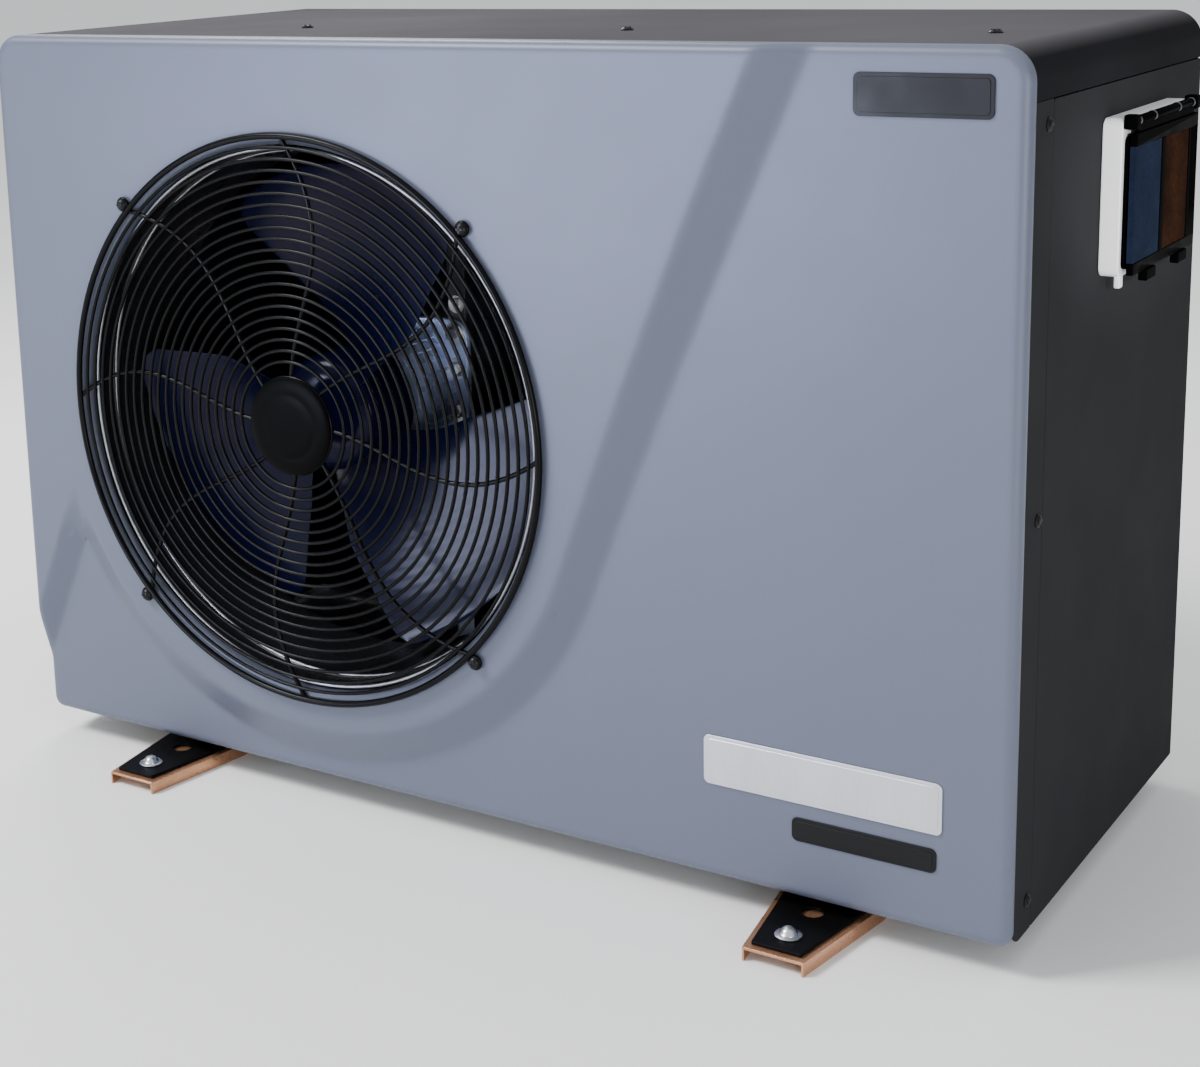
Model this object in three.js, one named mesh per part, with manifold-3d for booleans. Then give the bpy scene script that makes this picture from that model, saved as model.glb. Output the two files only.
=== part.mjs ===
// Pool heat pump unit: a sheet-metal cabinet with a front fan, an inverter compressor circuit,
// a water heat exchanger with two rear unions, and a controller with a lift-up cover on its right side.
//
// Millimetres. +X to the right seen from the front, +Y to the back, +Z up.
// The pieces are laid out from the cabinet's lower left front corner, and the whole group is then
// moved so that the origin is the centre of the floor area under the unit.

import * as THREE from 'three';
import { mergeVertices } from 'three/addons/utils/BufferGeometryUtils.js';
import Module from 'manifold-3d';

const wasm = await Module();
wasm.setup();

// ---------------------------------------------------------------- driving dimensions

const GAP = 0.4; // between two pieces that meet

const WIDTH = 1000; // cabinet
const DEPTH = 450;
const HEIGHT = 680;
const SHEET = 2; // steel sheet of the cabinet
const CORNER = 26; // rounding of the cabinet's long edges
const LOW_CORNER = 12; // the lower corners are tighter than the upper ones

const PANEL_DEPTH = 24; // front panel, with its folded-back rim
const RELIEF = 14; // step between the panel's two levels
const EDGE_ROUND = 8; // rounding along the panel's front edges
const POST_DEPTH = 62; // front posts end here
const HOOD_DROP = 40; // how far the top cover wraps down the sides
const BACK_STRIP = 24; // strip of the top cover that hangs at the back
const REAR_TOP = HEIGHT - BACK_STRIP - GAP;
const FOLD_BOTTOM = 26; // inward folds of the posts and side panels start here, above the base pan

const FAN_X = 345;
const FAN_Z = 339;
const HOLE_RADIUS = 246; // clear air outlet in the front panel
const GUARD_RADIUS = 258;
const BADGE_RADIUS = 45;
const ROTOR_RADIUS = 224;
const HUB_RADIUS = 54;
const SHAFT_RADIUS = 6;

const PARTITION_X = 648; // wall between fan chamber and compressor chamber
const WATER_X = 890;
const PIPE_RADIUS = 25;
const WATER_HEIGHTS = { inlet: 130, outlet: 390 };

const CONTROLLER = { front: 175, back: 352, bottom: 492, top: 614, base: 16 };

const FOOT_CENTRES = { left: 170, right: 838 };
const FOOT_DROP = 26; // cabinet bottom to floor
const RAIL_HEIGHT = 12;
const RAIL_OVERHANG = 56; // rail ends beyond the cabinet, front and back

// ---------------------------------------------------------------- materials

const paint = (color, roughness = 0.45, metalness = 0.15) => ({ color, roughness, metalness });

const FINISH = {
  silver: paint(0x8f95a6, 0.42, 0.25),
  hood: paint(0x6c696e, 0.5, 0.2),
  charcoal: paint(0x34353a, 0.55, 0.1),
  blackWire: paint(0x111214, 0.4, 0.2),
  navyBlade: paint(0x151b33, 0.22, 0.0),
  blackPlastic: paint(0x141416, 0.5, 0.0),
  whitePlastic: paint(0xe6e7ea, 0.4, 0.0),
  smokedPlastic: paint(0x1b1614, 0.12, 0.0),
  rubber: paint(0x161617, 0.85, 0.0),
  copper: paint(0xb8744a, 0.35, 0.9),
  steel: paint(0xb9bcc0, 0.3, 0.95),
  galvanised: paint(0x9fa3a6, 0.5, 0.7),
  aluminium: paint(0xaab0b6, 0.4, 0.8),
  coilFin: paint(0x20242c, 0.55, 0.5),
};

// ---------------------------------------------------------------- solids and booleans

function toSolid(geometry) {
  const bare = geometry.clone();
  bare.deleteAttribute('normal');
  bare.deleteAttribute('uv');
  const merged = mergeVertices(bare, 1e-3);
  const corners = merged.index.array;
  const kept = [];
  for (let i = 0; i < corners.length; i += 3) {
    const [a, b, c] = [corners[i], corners[i + 1], corners[i + 2]];
    if (a !== b && b !== c && c !== a) kept.push(a, b, c);
  }
  return new wasm.Manifold(new wasm.Mesh({
    numProp: 3,
    vertProperties: merged.attributes.position.array,
    triVerts: Uint32Array.from(kept),
  }));
}

function toGeometry(solid) {
  const { vertProperties, triVerts } = solid.getMesh();
  const geometry = new THREE.BufferGeometry();
  geometry.setAttribute('position', new THREE.BufferAttribute(vertProperties, 3));
  geometry.setIndex(new THREE.BufferAttribute(triVerts, 1));
  geometry.computeVertexNormals();
  return geometry;
}

function join(...pieces) {
  return toGeometry(pieces.map(toSolid).reduce((whole, piece) => whole.add(piece)));
}

function cut(body, ...tools) {
  return toGeometry(tools.map(toSolid).reduce((rest, tool) => rest.subtract(tool), toSolid(body)));
}

function common(a, b) {
  return toGeometry(toSolid(a).intersect(toSolid(b)));
}

// ---------------------------------------------------------------- simple shapes

function box(x0, x1, y0, y1, z0, z1) {
  const geometry = new THREE.BoxGeometry(x1 - x0, y1 - y0, z1 - z0);
  return geometry.translate((x0 + x1) / 2, (y0 + y1) / 2, (z0 + z1) / 2);
}

function polygon(points) {
  return new THREE.Shape(points.map(([a, b]) => new THREE.Vector2(a, b)));
}

function roundedRect(left, bottom, right, top, radius, low = radius) {
  const steps = 6;
  const centres = [
    [right - low, bottom + low, low, -90],
    [right - radius, top - radius, radius, 0],
    [left + radius, top - radius, radius, 90],
    [left + low, bottom + low, low, 180],
  ];
  return polygon(centres.flatMap(([a, b, reach, start]) => Array.from({ length: steps + 1 }, (_, i) => {
    const turn = THREE.MathUtils.degToRad(start + (90 * i) / steps);
    return [a + reach * Math.cos(turn), b + reach * Math.sin(turn)];
  })));
}

function regularPolygon(radius, sides) {
  const corner = (i) => {
    const turn = (2 * Math.PI * (i + 0.5)) / sides;
    return [radius * Math.cos(turn), radius * Math.sin(turn)];
  };
  return polygon(Array.from({ length: sides }, (_, i) => corner(i)));
}

function extrude(shape, depth, options = {}) {
  return new THREE.ExtrudeGeometry(shape, { depth, bevelEnabled: false, ...options });
}

// A shape drawn in X and Y, standing between two heights.
function uprightPlate(shape, z0, z1, options) {
  return extrude(shape, z1 - z0, options).translate(0, 0, z0);
}

// A shape drawn in X and Z, reaching from y0 back to y1.
function facingPlate(shape, y0, y1, options) {
  return extrude(shape, y1 - y0, options).rotateX(Math.PI / 2).translate(0, y1, 0);
}

// A shape drawn in Y and Z, reaching from x0 to x1.
function sidePlate(shape, x0, x1, options) {
  const turn = new THREE.Matrix4().makeBasis(
    new THREE.Vector3(0, 1, 0),
    new THREE.Vector3(0, 0, 1),
    new THREE.Vector3(1, 0, 0),
  );
  return extrude(shape, x1 - x0, options).applyMatrix4(turn).translate(x0, 0, 0);
}

// Turns a profile of [radius, height] pairs about the Y axis. A profile off the axis is closed.
function revolve(profile, segments = 24) {
  const points = profile.map(([radius, height]) => new THREE.Vector2(radius, height));
  const onAxis = points[0].x === 0 && points.at(-1).x === 0;
  if (THREE.ShapeUtils.area(points) < 0) points.reverse();
  if (!onAxis) points.push(points[0].clone());
  return new THREE.LatheGeometry(points, segments);
}

const revolveUp = (profile, segments) => revolve(profile, segments).rotateX(Math.PI / 2);
const revolveRight = (profile, segments) => revolve(profile, segments).rotateZ(-Math.PI / 2);

const rod = (radius, from, to) => [[0, from], [radius, from], [radius, to], [0, to]];
const pipe = (inner, outer, from, to) => [[inner, from], [outer, from], [outer, to], [inner, to]];

// A round bar or tube's outside, bent smoothly through the given points.
function bentRod(points, radius, { steps = 11, sides = 6 } = {}) {
  const knots = points.map((p) => new THREE.Vector3(...p));
  const path = new THREE.CatmullRomCurve3(knots, false, 'centripetal');
  return extrude(regularPolygon(radius, sides), 1, { steps, extrudePath: path });
}

// A domed screw whose axis is Y: the head's outside is at y = 0, the shank runs back.
function domeScrew({ head, headHeight, shank, length, segments = 8 }) {
  return revolve([
    [0, 0],
    [head * 0.6, headHeight * 0.15],
    [head, headHeight * 0.7],
    [head, headHeight],
    [shank, headHeight],
    [shank, length],
    [0, length],
  ], segments);
}

// ---------------------------------------------------------------- assembly

const unit = new THREE.Group();
const materials = Object.fromEntries(Object.entries(FINISH).map(
  ([name, finish]) => [name, new THREE.MeshStandardMaterial(finish)],
));

function addPart(name, geometry, finish, [x, y, z] = [0, 0, 0]) {
  const mesh = new THREE.Mesh(geometry, materials[finish].clone());
  mesh.name = name;
  mesh.position.set(x, y, z);
  unit.add(mesh);
}

// ---------------------------------------------------------------- front panel

// The raised level of the panel follows the fan round from its lower left, then runs up to the right.
const RAISED_EDGE = {
  radius: 285,
  apexTurn: 196,
  apex: [64, 258],
  leftExit: [-50, -9],
  top: [814, 730],
  pull: [702, 490],
};
const LOW_EDGE = {
  radius: 322,
  apexTurn: 209,
  apex: [66, 182],
  leftExit: [-50, -61],
  top: [862, 730],
  pull: [690, 345],
};

function reliefOutline(edge) {
  const arcSteps = 26;
  const sweepSteps = 8;
  const startTurn = THREE.MathUtils.degToRad(-20);
  const endTurn = THREE.MathUtils.degToRad(edge.apexTurn - 360);
  const onArc = (turn) => new THREE.Vector2(
    FAN_X + edge.radius * Math.cos(turn),
    FAN_Z + edge.radius * Math.sin(turn),
  );
  const sweep = new THREE.QuadraticBezierCurve(
    new THREE.Vector2(...edge.top),
    new THREE.Vector2(...edge.pull),
    onArc(startTurn),
  );
  const arc = Array.from({ length: arcSteps }, (_, i) => onArc(
    THREE.MathUtils.lerp(startTurn, endTurn, (i + 1) / arcSteps),
  ));
  const corners = [edge.apex, edge.leftExit, [-60, edge.leftExit[1]], [-60, 730]];
  return [...sweep.getPoints(sweepSteps), ...arc, ...corners.map((p) => new THREE.Vector2(...p))].reverse();
}

// The raised level as a solid with sloping sides, from its face at `front` back by the step's height.
function raisedBlock(front) {
  const face = reliefOutline(RAISED_EDGE);
  const foot = reliefOutline(LOW_EDGE);
  const count = face.length;
  const positions = [];
  face.forEach((p) => positions.push(p.x, front, p.y));
  foot.forEach((p) => positions.push(p.x, front + RELIEF, p.y));
  const index = [];
  THREE.ShapeUtils.triangulateShape(face, []).forEach(([a, b, c]) => index.push(a, b, c));
  THREE.ShapeUtils.triangulateShape(foot, []).forEach(
    ([a, b, c]) => index.push(count + a, count + c, count + b),
  );
  for (let i = 0; i < count; i += 1) {
    const next = (i + 1) % count;
    index.push(i, count + i, count + next, i, count + next, next);
  }
  const geometry = new THREE.BufferGeometry();
  geometry.setAttribute('position', new THREE.Float32BufferAttribute(positions, 3));
  geometry.setIndex(index);
  return geometry;
}

function panelBlank(inset, front) {
  const outline = roundedRect(
    inset,
    inset,
    WIDTH - inset,
    HEIGHT - inset,
    CORNER - inset,
    LOW_CORNER - inset,
  );
  const rounding = {
    bevelEnabled: true,
    bevelThickness: EDGE_ROUND,
    bevelSize: EDGE_ROUND,
    bevelOffset: -EDGE_ROUND,
    bevelSegments: 3,
  };
  const slab = (y0) => facingPlate(outline, y0 + EDGE_ROUND, PANEL_DEPTH + 20, rounding);
  return join(slab(front + RELIEF), common(slab(front), raisedBlock(front)));
}

function frontPanel() {
  const shellThickness = 2.5;
  const lipWidth = 8;
  const outside = panelBlank(0, 0);
  const inside = panelBlank(shellThickness, shellThickness);
  const behind = box(-10, WIDTH + 10, PANEL_DEPTH, PANEL_DEPTH + 60, -10, HEIGHT + 10);
  const segments = 40;
  const hole = revolve(rod(HOLE_RADIUS + lipWidth, -5, 40), segments).translate(FAN_X, 0, FAN_Z);
  const lip = revolve([
    [HOLE_RADIUS + lipWidth + 3, 0],
    [HOLE_RADIUS + lipWidth + 3, 2.2],
    [HOLE_RADIUS + 6, 3.5],
    [HOLE_RADIUS + 3, 8],
    [HOLE_RADIUS + 3, PANEL_DEPTH],
    [HOLE_RADIUS, PANEL_DEPTH],
    [HOLE_RADIUS, 7],
    [HOLE_RADIUS + 2, 2.4],
    [HOLE_RADIUS + 6, 0.4],
  ], segments).translate(FAN_X, 0, FAN_Z);
  const screwHoles = guardScrewPlaces().map(([x, z]) => revolve(rod(3, -5, 10), 8).translate(x, 0, z));
  return cut(join(cut(outside, inside, behind, hole), lip), ...screwHoles);
}

// ---------------------------------------------------------------- cabinet

function topCover() {
  const front = PANEL_DEPTH + GAP;
  const low = HEIGHT - HOOD_DROP;
  const arch = roundedRect(0, low - CORNER, WIDTH, HEIGHT, CORNER);
  const room = roundedRect(SHEET, low - CORNER - 10, WIDTH - SHEET, HEIGHT - SHEET, CORNER - SHEET);
  const bite = 0.5; // the strip reaches this far into the sheet that it is folded from
  const backStrip = box(
    SHEET - bite,
    WIDTH - SHEET + bite,
    DEPTH - SHEET,
    DEPTH,
    HEIGHT - BACK_STRIP,
    HEIGHT - SHEET + bite,
  );
  const belowHood = box(-10, WIDTH + 10, 0, DEPTH + 10, 0, low);
  const shell = cut(facingPlate(arch, front, DEPTH), facingPlate(room, front - 5, DEPTH + 5), belowHood);
  const strip = common(backStrip, facingPlate(arch, front, DEPTH));
  const screwHole = () => revolveUp(rod(SCREW_HOLE, HEIGHT - 10, HEIGHT + 5), 8);
  const screwHoles = TOP_SCREWS.map(([x, y]) => screwHole().translate(x, y, 0));
  return cut(join(shell, strip), ...screwHoles);
}

// A front post from the side: its lower front corner is round like the panel's.
function postOutline(front, top) {
  const arc = Array.from({ length: 7 }, (_, i) => {
    const turn = THREE.MathUtils.degToRad(180 + 15 * i);
    return [front + LOW_CORNER * (1 + Math.cos(turn)), LOW_CORNER * (1 + Math.sin(turn))];
  });
  return polygon([...arc, [POST_DEPTH, 0], [POST_DEPTH, top], [front, top]]);
}

// An angle strip behind the front panel: `side` is 0 on the left and WIDTH on the right.
function frontPost(side, screwHeights) {
  const inward = side === 0 ? 1 : -1;
  const span = (a, b) => [side + inward * a, side + inward * b].sort((low, high) => low - high);
  const flangeReach = 26;
  const top = HEIGHT - HOOD_DROP - GAP;
  const face = sidePlate(postOutline(PANEL_DEPTH + GAP, top), ...span(0, SHEET));
  const flange = box(...span(SHEET / 2, flangeReach), POST_DEPTH - SHEET, POST_DEPTH, FOLD_BOTTOM, top);
  const holes = screwHeights.map(
    (z) => revolveRight(rod(SCREW_HOLE, -5, 5), 8).translate(side, SIDE_SCREW_Y, z),
  );
  return cut(join(face, flange), ...holes);
}

const sidePanelOutline = () => roundedRect(POST_DEPTH + 1, 0, DEPTH - GAP, HEIGHT - HOOD_DROP - 1, 4, 2);

function rightSidePanel() {
  const outline = sidePanelOutline();
  const top = HEIGHT - HOOD_DROP - 6;
  const fold = box(WIDTH - 14, WIDTH - SHEET / 2, DEPTH - 6, DEPTH - 4, FOLD_BOTTOM, top);
  return join(sidePlate(outline, WIDTH - SHEET, WIDTH), fold);
}

// The slots of a grid, each as its two ranges along the sheet's own axes.
function slotGrid({ left, right, bottom, top, columns, rows, bar }) {
  const pitchAcross = (right - left) / columns;
  const pitchUp = (top - bottom) / rows;
  return Array.from({ length: columns * rows }, (_, i) => {
    const a = left + (i % columns) * pitchAcross + bar / 2;
    const b = bottom + Math.floor(i / columns) * pitchUp + bar / 2;
    return [a, a + pitchAcross - bar, b, b + pitchUp - bar];
  });
}

function leftSideGrille() {
  const outline = sidePanelOutline();
  const slots = slotGrid({ left: 90, right: 425, bottom: 50, top: 610, columns: 2, rows: 14, bar: 12 });
  return cut(
    sidePlate(outline, 0, SHEET),
    ...slots.map(([y0, y1, z0, z1]) => box(-5, SHEET + 5, y0, y1, z0, z1)),
  );
}

function rearGrille() {
  const slots = slotGrid({ left: 30, right: 630, bottom: 40, top: 635, columns: 4, rows: 12, bar: 10 });
  return cut(
    box(SHEET + GAP, PARTITION_X - GAP, DEPTH - SHEET, DEPTH, 3, REAR_TOP),
    ...slots.map(([x0, x1, z0, z1]) => box(x0, x1, DEPTH - 10, DEPTH + 10, z0, z1)),
  );
}

function rearPanel() {
  const plate = box(PARTITION_X + GAP, WIDTH - SHEET - GAP, DEPTH - SHEET, DEPTH, 3, REAR_TOP);
  const waterHoles = Object.values(WATER_HEIGHTS).map(
    (z) => revolve(rod(PIPE_RADIUS + 2.5, DEPTH - 10, DEPTH + 10), 16).translate(WATER_X, 0, z),
  );
  const glandHole = revolve(rod(10.5, DEPTH - 10, DEPTH + 10), 12).translate(...GLAND_PLACE);
  return cut(plate, ...waterHoles, glandHole);
}

function basePan() {
  const rim = 20;
  const side = 3.4;
  const back = DEPTH - SHEET - GAP;
  const profile = (inset) => roundedRect(
    side + inset,
    inset,
    WIDTH - side - inset,
    60,
    LOW_CORNER - inset,
  );
  const outer = facingPlate(profile(0), 27, back);
  const room = facingPlate(profile(SHEET), 27 + SHEET, back - SHEET);
  const aboveRim = box(-10, WIDTH + 10, 0, DEPTH + 10, rim, 80);
  const drainHole = revolveUp(rod(10, -5, 10), 12).translate(...DRAIN_PLACE);
  return cut(outer, room, aboveRim, drainHole);
}

function partitionPlate() {
  const t = 1.5;
  const bend = 330;
  const end = [PARTITION_X + 14, DEPTH - 10];
  const outline = polygon([
    [PARTITION_X, 30],
    [PARTITION_X + t, 30],
    [PARTITION_X + t, bend],
    [end[0] + t, end[1]],
    end,
    [PARTITION_X, bend],
  ]);
  return uprightPlate(outline, 3, HEIGHT - 6);
}

const TOP_SCREWS = [[271, 138], [611, 138], [929, 138]];
const SCREW_HOLE = 2.8; // radius
const SIDE_SCREW_Y = 51;
const SIDE_SCREW_HEIGHTS = [27, 330, 622];
const GLAND_PLACE = [745, 0, 565];
const DRAIN_PLACE = [345, 250, 0];

// ---------------------------------------------------------------- fan guard

const GUARD_SCREW_FRONT = -9; // outside of the screw heads

function guardScrewPlaces() {
  const reach = GUARD_RADIUS + 8;
  return [45, 135, 225, 315].map((degrees) => {
    const turn = THREE.MathUtils.degToRad(degrees);
    return [FAN_X + reach * Math.cos(turn), FAN_Z + reach * Math.sin(turn)];
  });
}

function wireRing(radius, wire, y, segments) {
  const round = [[radius + wire, y], [radius, y + wire], [radius - wire, y], [radius, y - wire]];
  return revolve(round, segments);
}

// A spoke leaves the outer ring at its own angle and bows clockwise on its way to the middle.
function guardSpoke(degrees) {
  const inner = BADGE_RADIUS - 3;
  const bow = THREE.MathUtils.degToRad(11);
  const points = [];
  for (let i = 0; i <= 6; i += 1) {
    const radius = THREE.MathUtils.lerp(inner, GUARD_RADIUS, i / 6);
    const turn = THREE.MathUtils.degToRad(degrees) - bow * Math.sin((Math.PI * i) / 6);
    points.push([radius * Math.cos(turn), -2.9, radius * Math.sin(turn)]);
  }
  return bentRod(points, 2, { steps: 5, sides: 3 });
}

function fanGuard() {
  const ringPitch = 20;
  const wire = 1.75;
  const rings = [
    wireRing(GUARD_RADIUS, 3, -4.5, 32),
    wireRing(BADGE_RADIUS - 2, wire, -4, 14),
  ];
  for (let radius = BADGE_RADIUS + 13; radius < GUARD_RADIUS - 5; radius += ringPitch) {
    rings.push(wireRing(radius, wire, -4, radius < 130 ? 14 : 22));
  }
  const spokes = Array.from({ length: 8 }, (_, i) => guardSpoke(i * 45));
  const eyelets = guardScrewPlaces().map(
    ([x, z]) => revolve(pipe(3.4, 6.8, -4.4, -1.4), 8).translate(x - FAN_X, 0, z - FAN_Z),
  );
  return join(...rings, ...spokes, ...eyelets);
}

function guardBadge() {
  return revolve([
    [0, -10.5],
    [26, -10.2],
    [38, -9.2],
    [BADGE_RADIUS - 1, -7.6],
    [BADGE_RADIUS, -6.2],
    [0, -6.2],
  ], 20);
}

// ---------------------------------------------------------------- fan and motor

// One wide blade. Its trailing edge is near the guard and its leading edge is further back.
function fanBlade(restDegrees) {
  const across = 5;
  const along = 4;
  const thickness = 3;
  const frontY = 46;
  const backY = 96;
  const rootRadius = HUB_RADIUS - 6;
  const place = (i, j, offset) => {
    const t = i / along;
    const radius = THREE.MathUtils.lerp(rootRadius, ROTOR_RADIUS, t);
    const middle = restDegrees - 22 * (1 - t) ** 1.6;
    const span = 60 + 20 * Math.min(1, 2.4 * t);
    const s = j / across;
    const turn = THREE.MathUtils.degToRad(middle + (s - 0.5) * span);
    const dish = 6 * Math.sin(Math.PI * s);
    const y = THREE.MathUtils.lerp(frontY, backY, s) + dish + offset;
    return [radius * Math.cos(turn), y, radius * Math.sin(turn)];
  };
  const positions = [];
  for (const offset of [0, thickness]) {
    for (let i = 0; i <= along; i += 1) {
      for (let j = 0; j <= across; j += 1) positions.push(...place(i, j, offset));
    }
  }
  const row = across + 1;
  const sheet = row * (along + 1);
  const index = [];
  const quad = (a, b, c, d) => index.push(a, b, c, a, c, d);
  for (let i = 0; i < along; i += 1) {
    for (let j = 0; j < across; j += 1) {
      const a = i * row + j;
      quad(a, a + row, a + row + 1, a + 1);
      quad(sheet + a, sheet + a + 1, sheet + a + row + 1, sheet + a + row);
    }
    const [start, end] = [i * row, i * row + across];
    quad(start, sheet + start, sheet + start + row, start + row);
    quad(end, end + row, sheet + end + row, sheet + end);
  }
  for (let j = 0; j < across; j += 1) {
    const tip = along * row + j;
    quad(j, j + 1, sheet + j + 1, sheet + j);
    quad(tip, sheet + tip, sheet + tip + 1, tip + 1);
  }
  const geometry = new THREE.BufferGeometry();
  geometry.setAttribute('position', new THREE.Float32BufferAttribute(positions, 3));
  geometry.setIndex(index);
  return geometry;
}

function fanRotor() {
  const hub = revolve([
    [0, 38],
    [30, 39],
    [HUB_RADIUS - 6, 43],
    [HUB_RADIUS, 50],
    [HUB_RADIUS, 108],
    [HUB_RADIUS - 4, 108],
    [HUB_RADIUS - 4, 52],
    [20, 46],
    [14, 104],
    [0, 104],
  ], 24);
  const bore = revolve(rod(SHAFT_RADIUS + 0.6, 44, 120), 12);
  const blades = [-31, 89, 209].map(fanBlade);
  return cut(join(hub, ...blades), bore);
}

function fanShroud() {
  return revolve([
    [276, 27],
    [258, 27],
    [243, 36],
    [237, 58],
    [237, 112],
    [240, 112],
    [240, 59],
    [245.5, 38.5],
    [259, 30],
    [276, 30],
  ], 32);
}

function motorBody() {
  return revolve([
    [0, 190],
    [50, 190],
    [56, 184],
    [56, 128],
    [50, 120],
    [22, 118],
    [20, 112],
    [SHAFT_RADIUS + 0.5, 112],
    [SHAFT_RADIUS + 0.5, 150],
    [0, 150],
  ], 20);
}

function motorBracket() {
  const rails = [-58, 38].map((x) => box(x, x + 20, 191, 205, -FAN_Z + 4, HEIGHT - FAN_Z - 6));
  const straps = [-50, 26].map((z) => box(-50, 50, 190.4, 194, z, z + 24));
  return join(...rails, ...straps);
}

// ---------------------------------------------------------------- refrigerant circuit and water side

function evaporatorCoil() {
  const outline = polygon([
    [16, 72],
    [50, 72],
    [50, 404],
    [640, 404],
    [640, 438],
    [16, 438],
  ]);
  return uprightPlate(outline, 24, HEIGHT - 26);
}

function compressor() {
  return revolveUp([
    [0, 30],
    [40, 30],
    [58, 40],
    [64, 60],
    [64, 240],
    [58, 268],
    [36, 284],
    [14, 288],
    [0, 288],
  ], 20);
}

const accumulator = () => revolveUp([[0, 84], [20, 86], [34, 100], [34, 226], [20, 242], [0, 244]], 20);

const heatExchanger = () => revolveUp([
  [0, 24],
  [60, 24],
  [72, 34],
  [72, 60],
  [68, 66],
  [68, 432],
  [72, 438],
  [72, 462],
  [60, 472],
  [0, 472],
], 20);

const waterPipe = () => revolve(pipe(19.5, PIPE_RADIUS, 424, 502), 16);

function unionNut() {
  const nut = facingPlate(regularPolygon(40, 12), 462, 490);
  return cut(nut, revolve(rod(PIPE_RADIUS + 1, 450, 500), 16));
}

// Reversing valve: a lying barrel with one stub up and three stubs down.
function fourWayValve() {
  const barrel = revolveRight(rod(15, -48, 48), 12);
  const stub = (x, z0, z1) => revolveUp(rod(6, z0, z1), 6).translate(x, 0, 0);
  return join(barrel, stub(0, 8, 34), stub(-26, -34, -8), stub(0, -34, -8), stub(26, -34, -8));
}

const expansionValve = () => revolveUp(
  [[0, 0], [10, 0], [10, 16], [17, 18], [17, 46], [12, 52], [0, 52]],
  12,
);

// ---------------------------------------------------------------- electrical parts

const ELECTRICAL = { left: 672, right: 968, front: 66, back: 270, bottom: 486, top: 652 };

function electricalBox() {
  const e = ELECTRICAL;
  const room = box(e.left + 2, e.right - 2, e.front + 2, e.back - 2, e.bottom + 2, e.top + 5);
  return cut(box(e.left, e.right, e.front, e.back, e.bottom, e.top), room);
}

function electricalCover() {
  const e = ELECTRICAL;
  return box(e.left - 1, e.right + 1, e.front - 1, e.back + 1, e.top + GAP, e.top + GAP + 2);
}

// The inverter's heat sink stands in the air stream, on the fan side of the partition.
function heatSink() {
  const finCount = 7;
  const plate = box(PARTITION_X - 8, PARTITION_X - GAP, 150, 300, 500, 640);
  const fins = Array.from({ length: finCount }, (_, i) => {
    const z = 504 + (i * 132) / (finCount - 1);
    return box(PARTITION_X - 40, PARTITION_X - 7, 150, 300, z - 1.5, z + 1.5);
  });
  return join(plate, ...fins);
}

function cableGland() {
  const nut = facingPlate(regularPolygon(16, 6), DEPTH + GAP, DEPTH + 8);
  const body = revolve(rod(10, DEPTH - 12, DEPTH + 24), 12);
  return cut(join(nut, body), revolve(rod(5, DEPTH - 20, DEPTH + 30), 8));
}

function drainNozzle() {
  const body = join(
    revolveUp(rod(9, -16, 6), 12),
    revolveUp(rod(14, -3.4, -GAP), 12),
  );
  return cut(body, revolveUp(rod(6, -20, 10), 12));
}

// ---------------------------------------------------------------- controller

const CONTROLLER_REACH = 27.6; // the cover's latches are the rightmost point of the unit
const HINGE = { x: WIDTH + 22.5, z: CONTROLLER.top - 2, radius: 3.6 };
const FLAP_FRONT = CONTROLLER.front + 12;
const FLAP_BACK = CONTROLLER.back - 12;
const BUTTON = { x: WIDTH + 16.8, y: 312, radius: 6, heights: [522, 548, 574] };

function controllerBase() {
  const c = CONTROLLER;
  const outline = roundedRect(c.front, c.bottom, c.back, c.top, 8);
  const shell = sidePlate(outline, WIDTH + GAP, WIDTH + c.base);
  const ear = (y) => box(WIDTH + c.base - 1, HINGE.x + 4, y, y + 11, HINGE.z - 6, HINGE.z + 5);
  const face = WIDTH + c.base;
  const tab = box(face - 5, face, c.front + 6, c.front + 14, c.bottom - 9, c.bottom + 2);
  const pinHole = revolve(rod(2.3, c.front - 5, c.back + 5), 8).translate(HINGE.x, 0, HINGE.z);
  return cut(join(shell, ear(c.front), ear(c.back - 11), tab), pinHole);
}

function controllerFascia() {
  const c = CONTROLLER;
  const outline = roundedRect(c.front + 5, c.bottom + 6, c.back - 5, c.top - 14, 5);
  const plate = sidePlate(outline, WIDTH + c.base + GAP, WIDTH + c.base + 3);
  const holes = BUTTON.heights.map(
    (z) => revolveRight(rod(BUTTON.radius + 0.6, 0, 40), 12).translate(WIDTH, BUTTON.y, z),
  );
  return cut(plate, ...holes);
}

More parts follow.
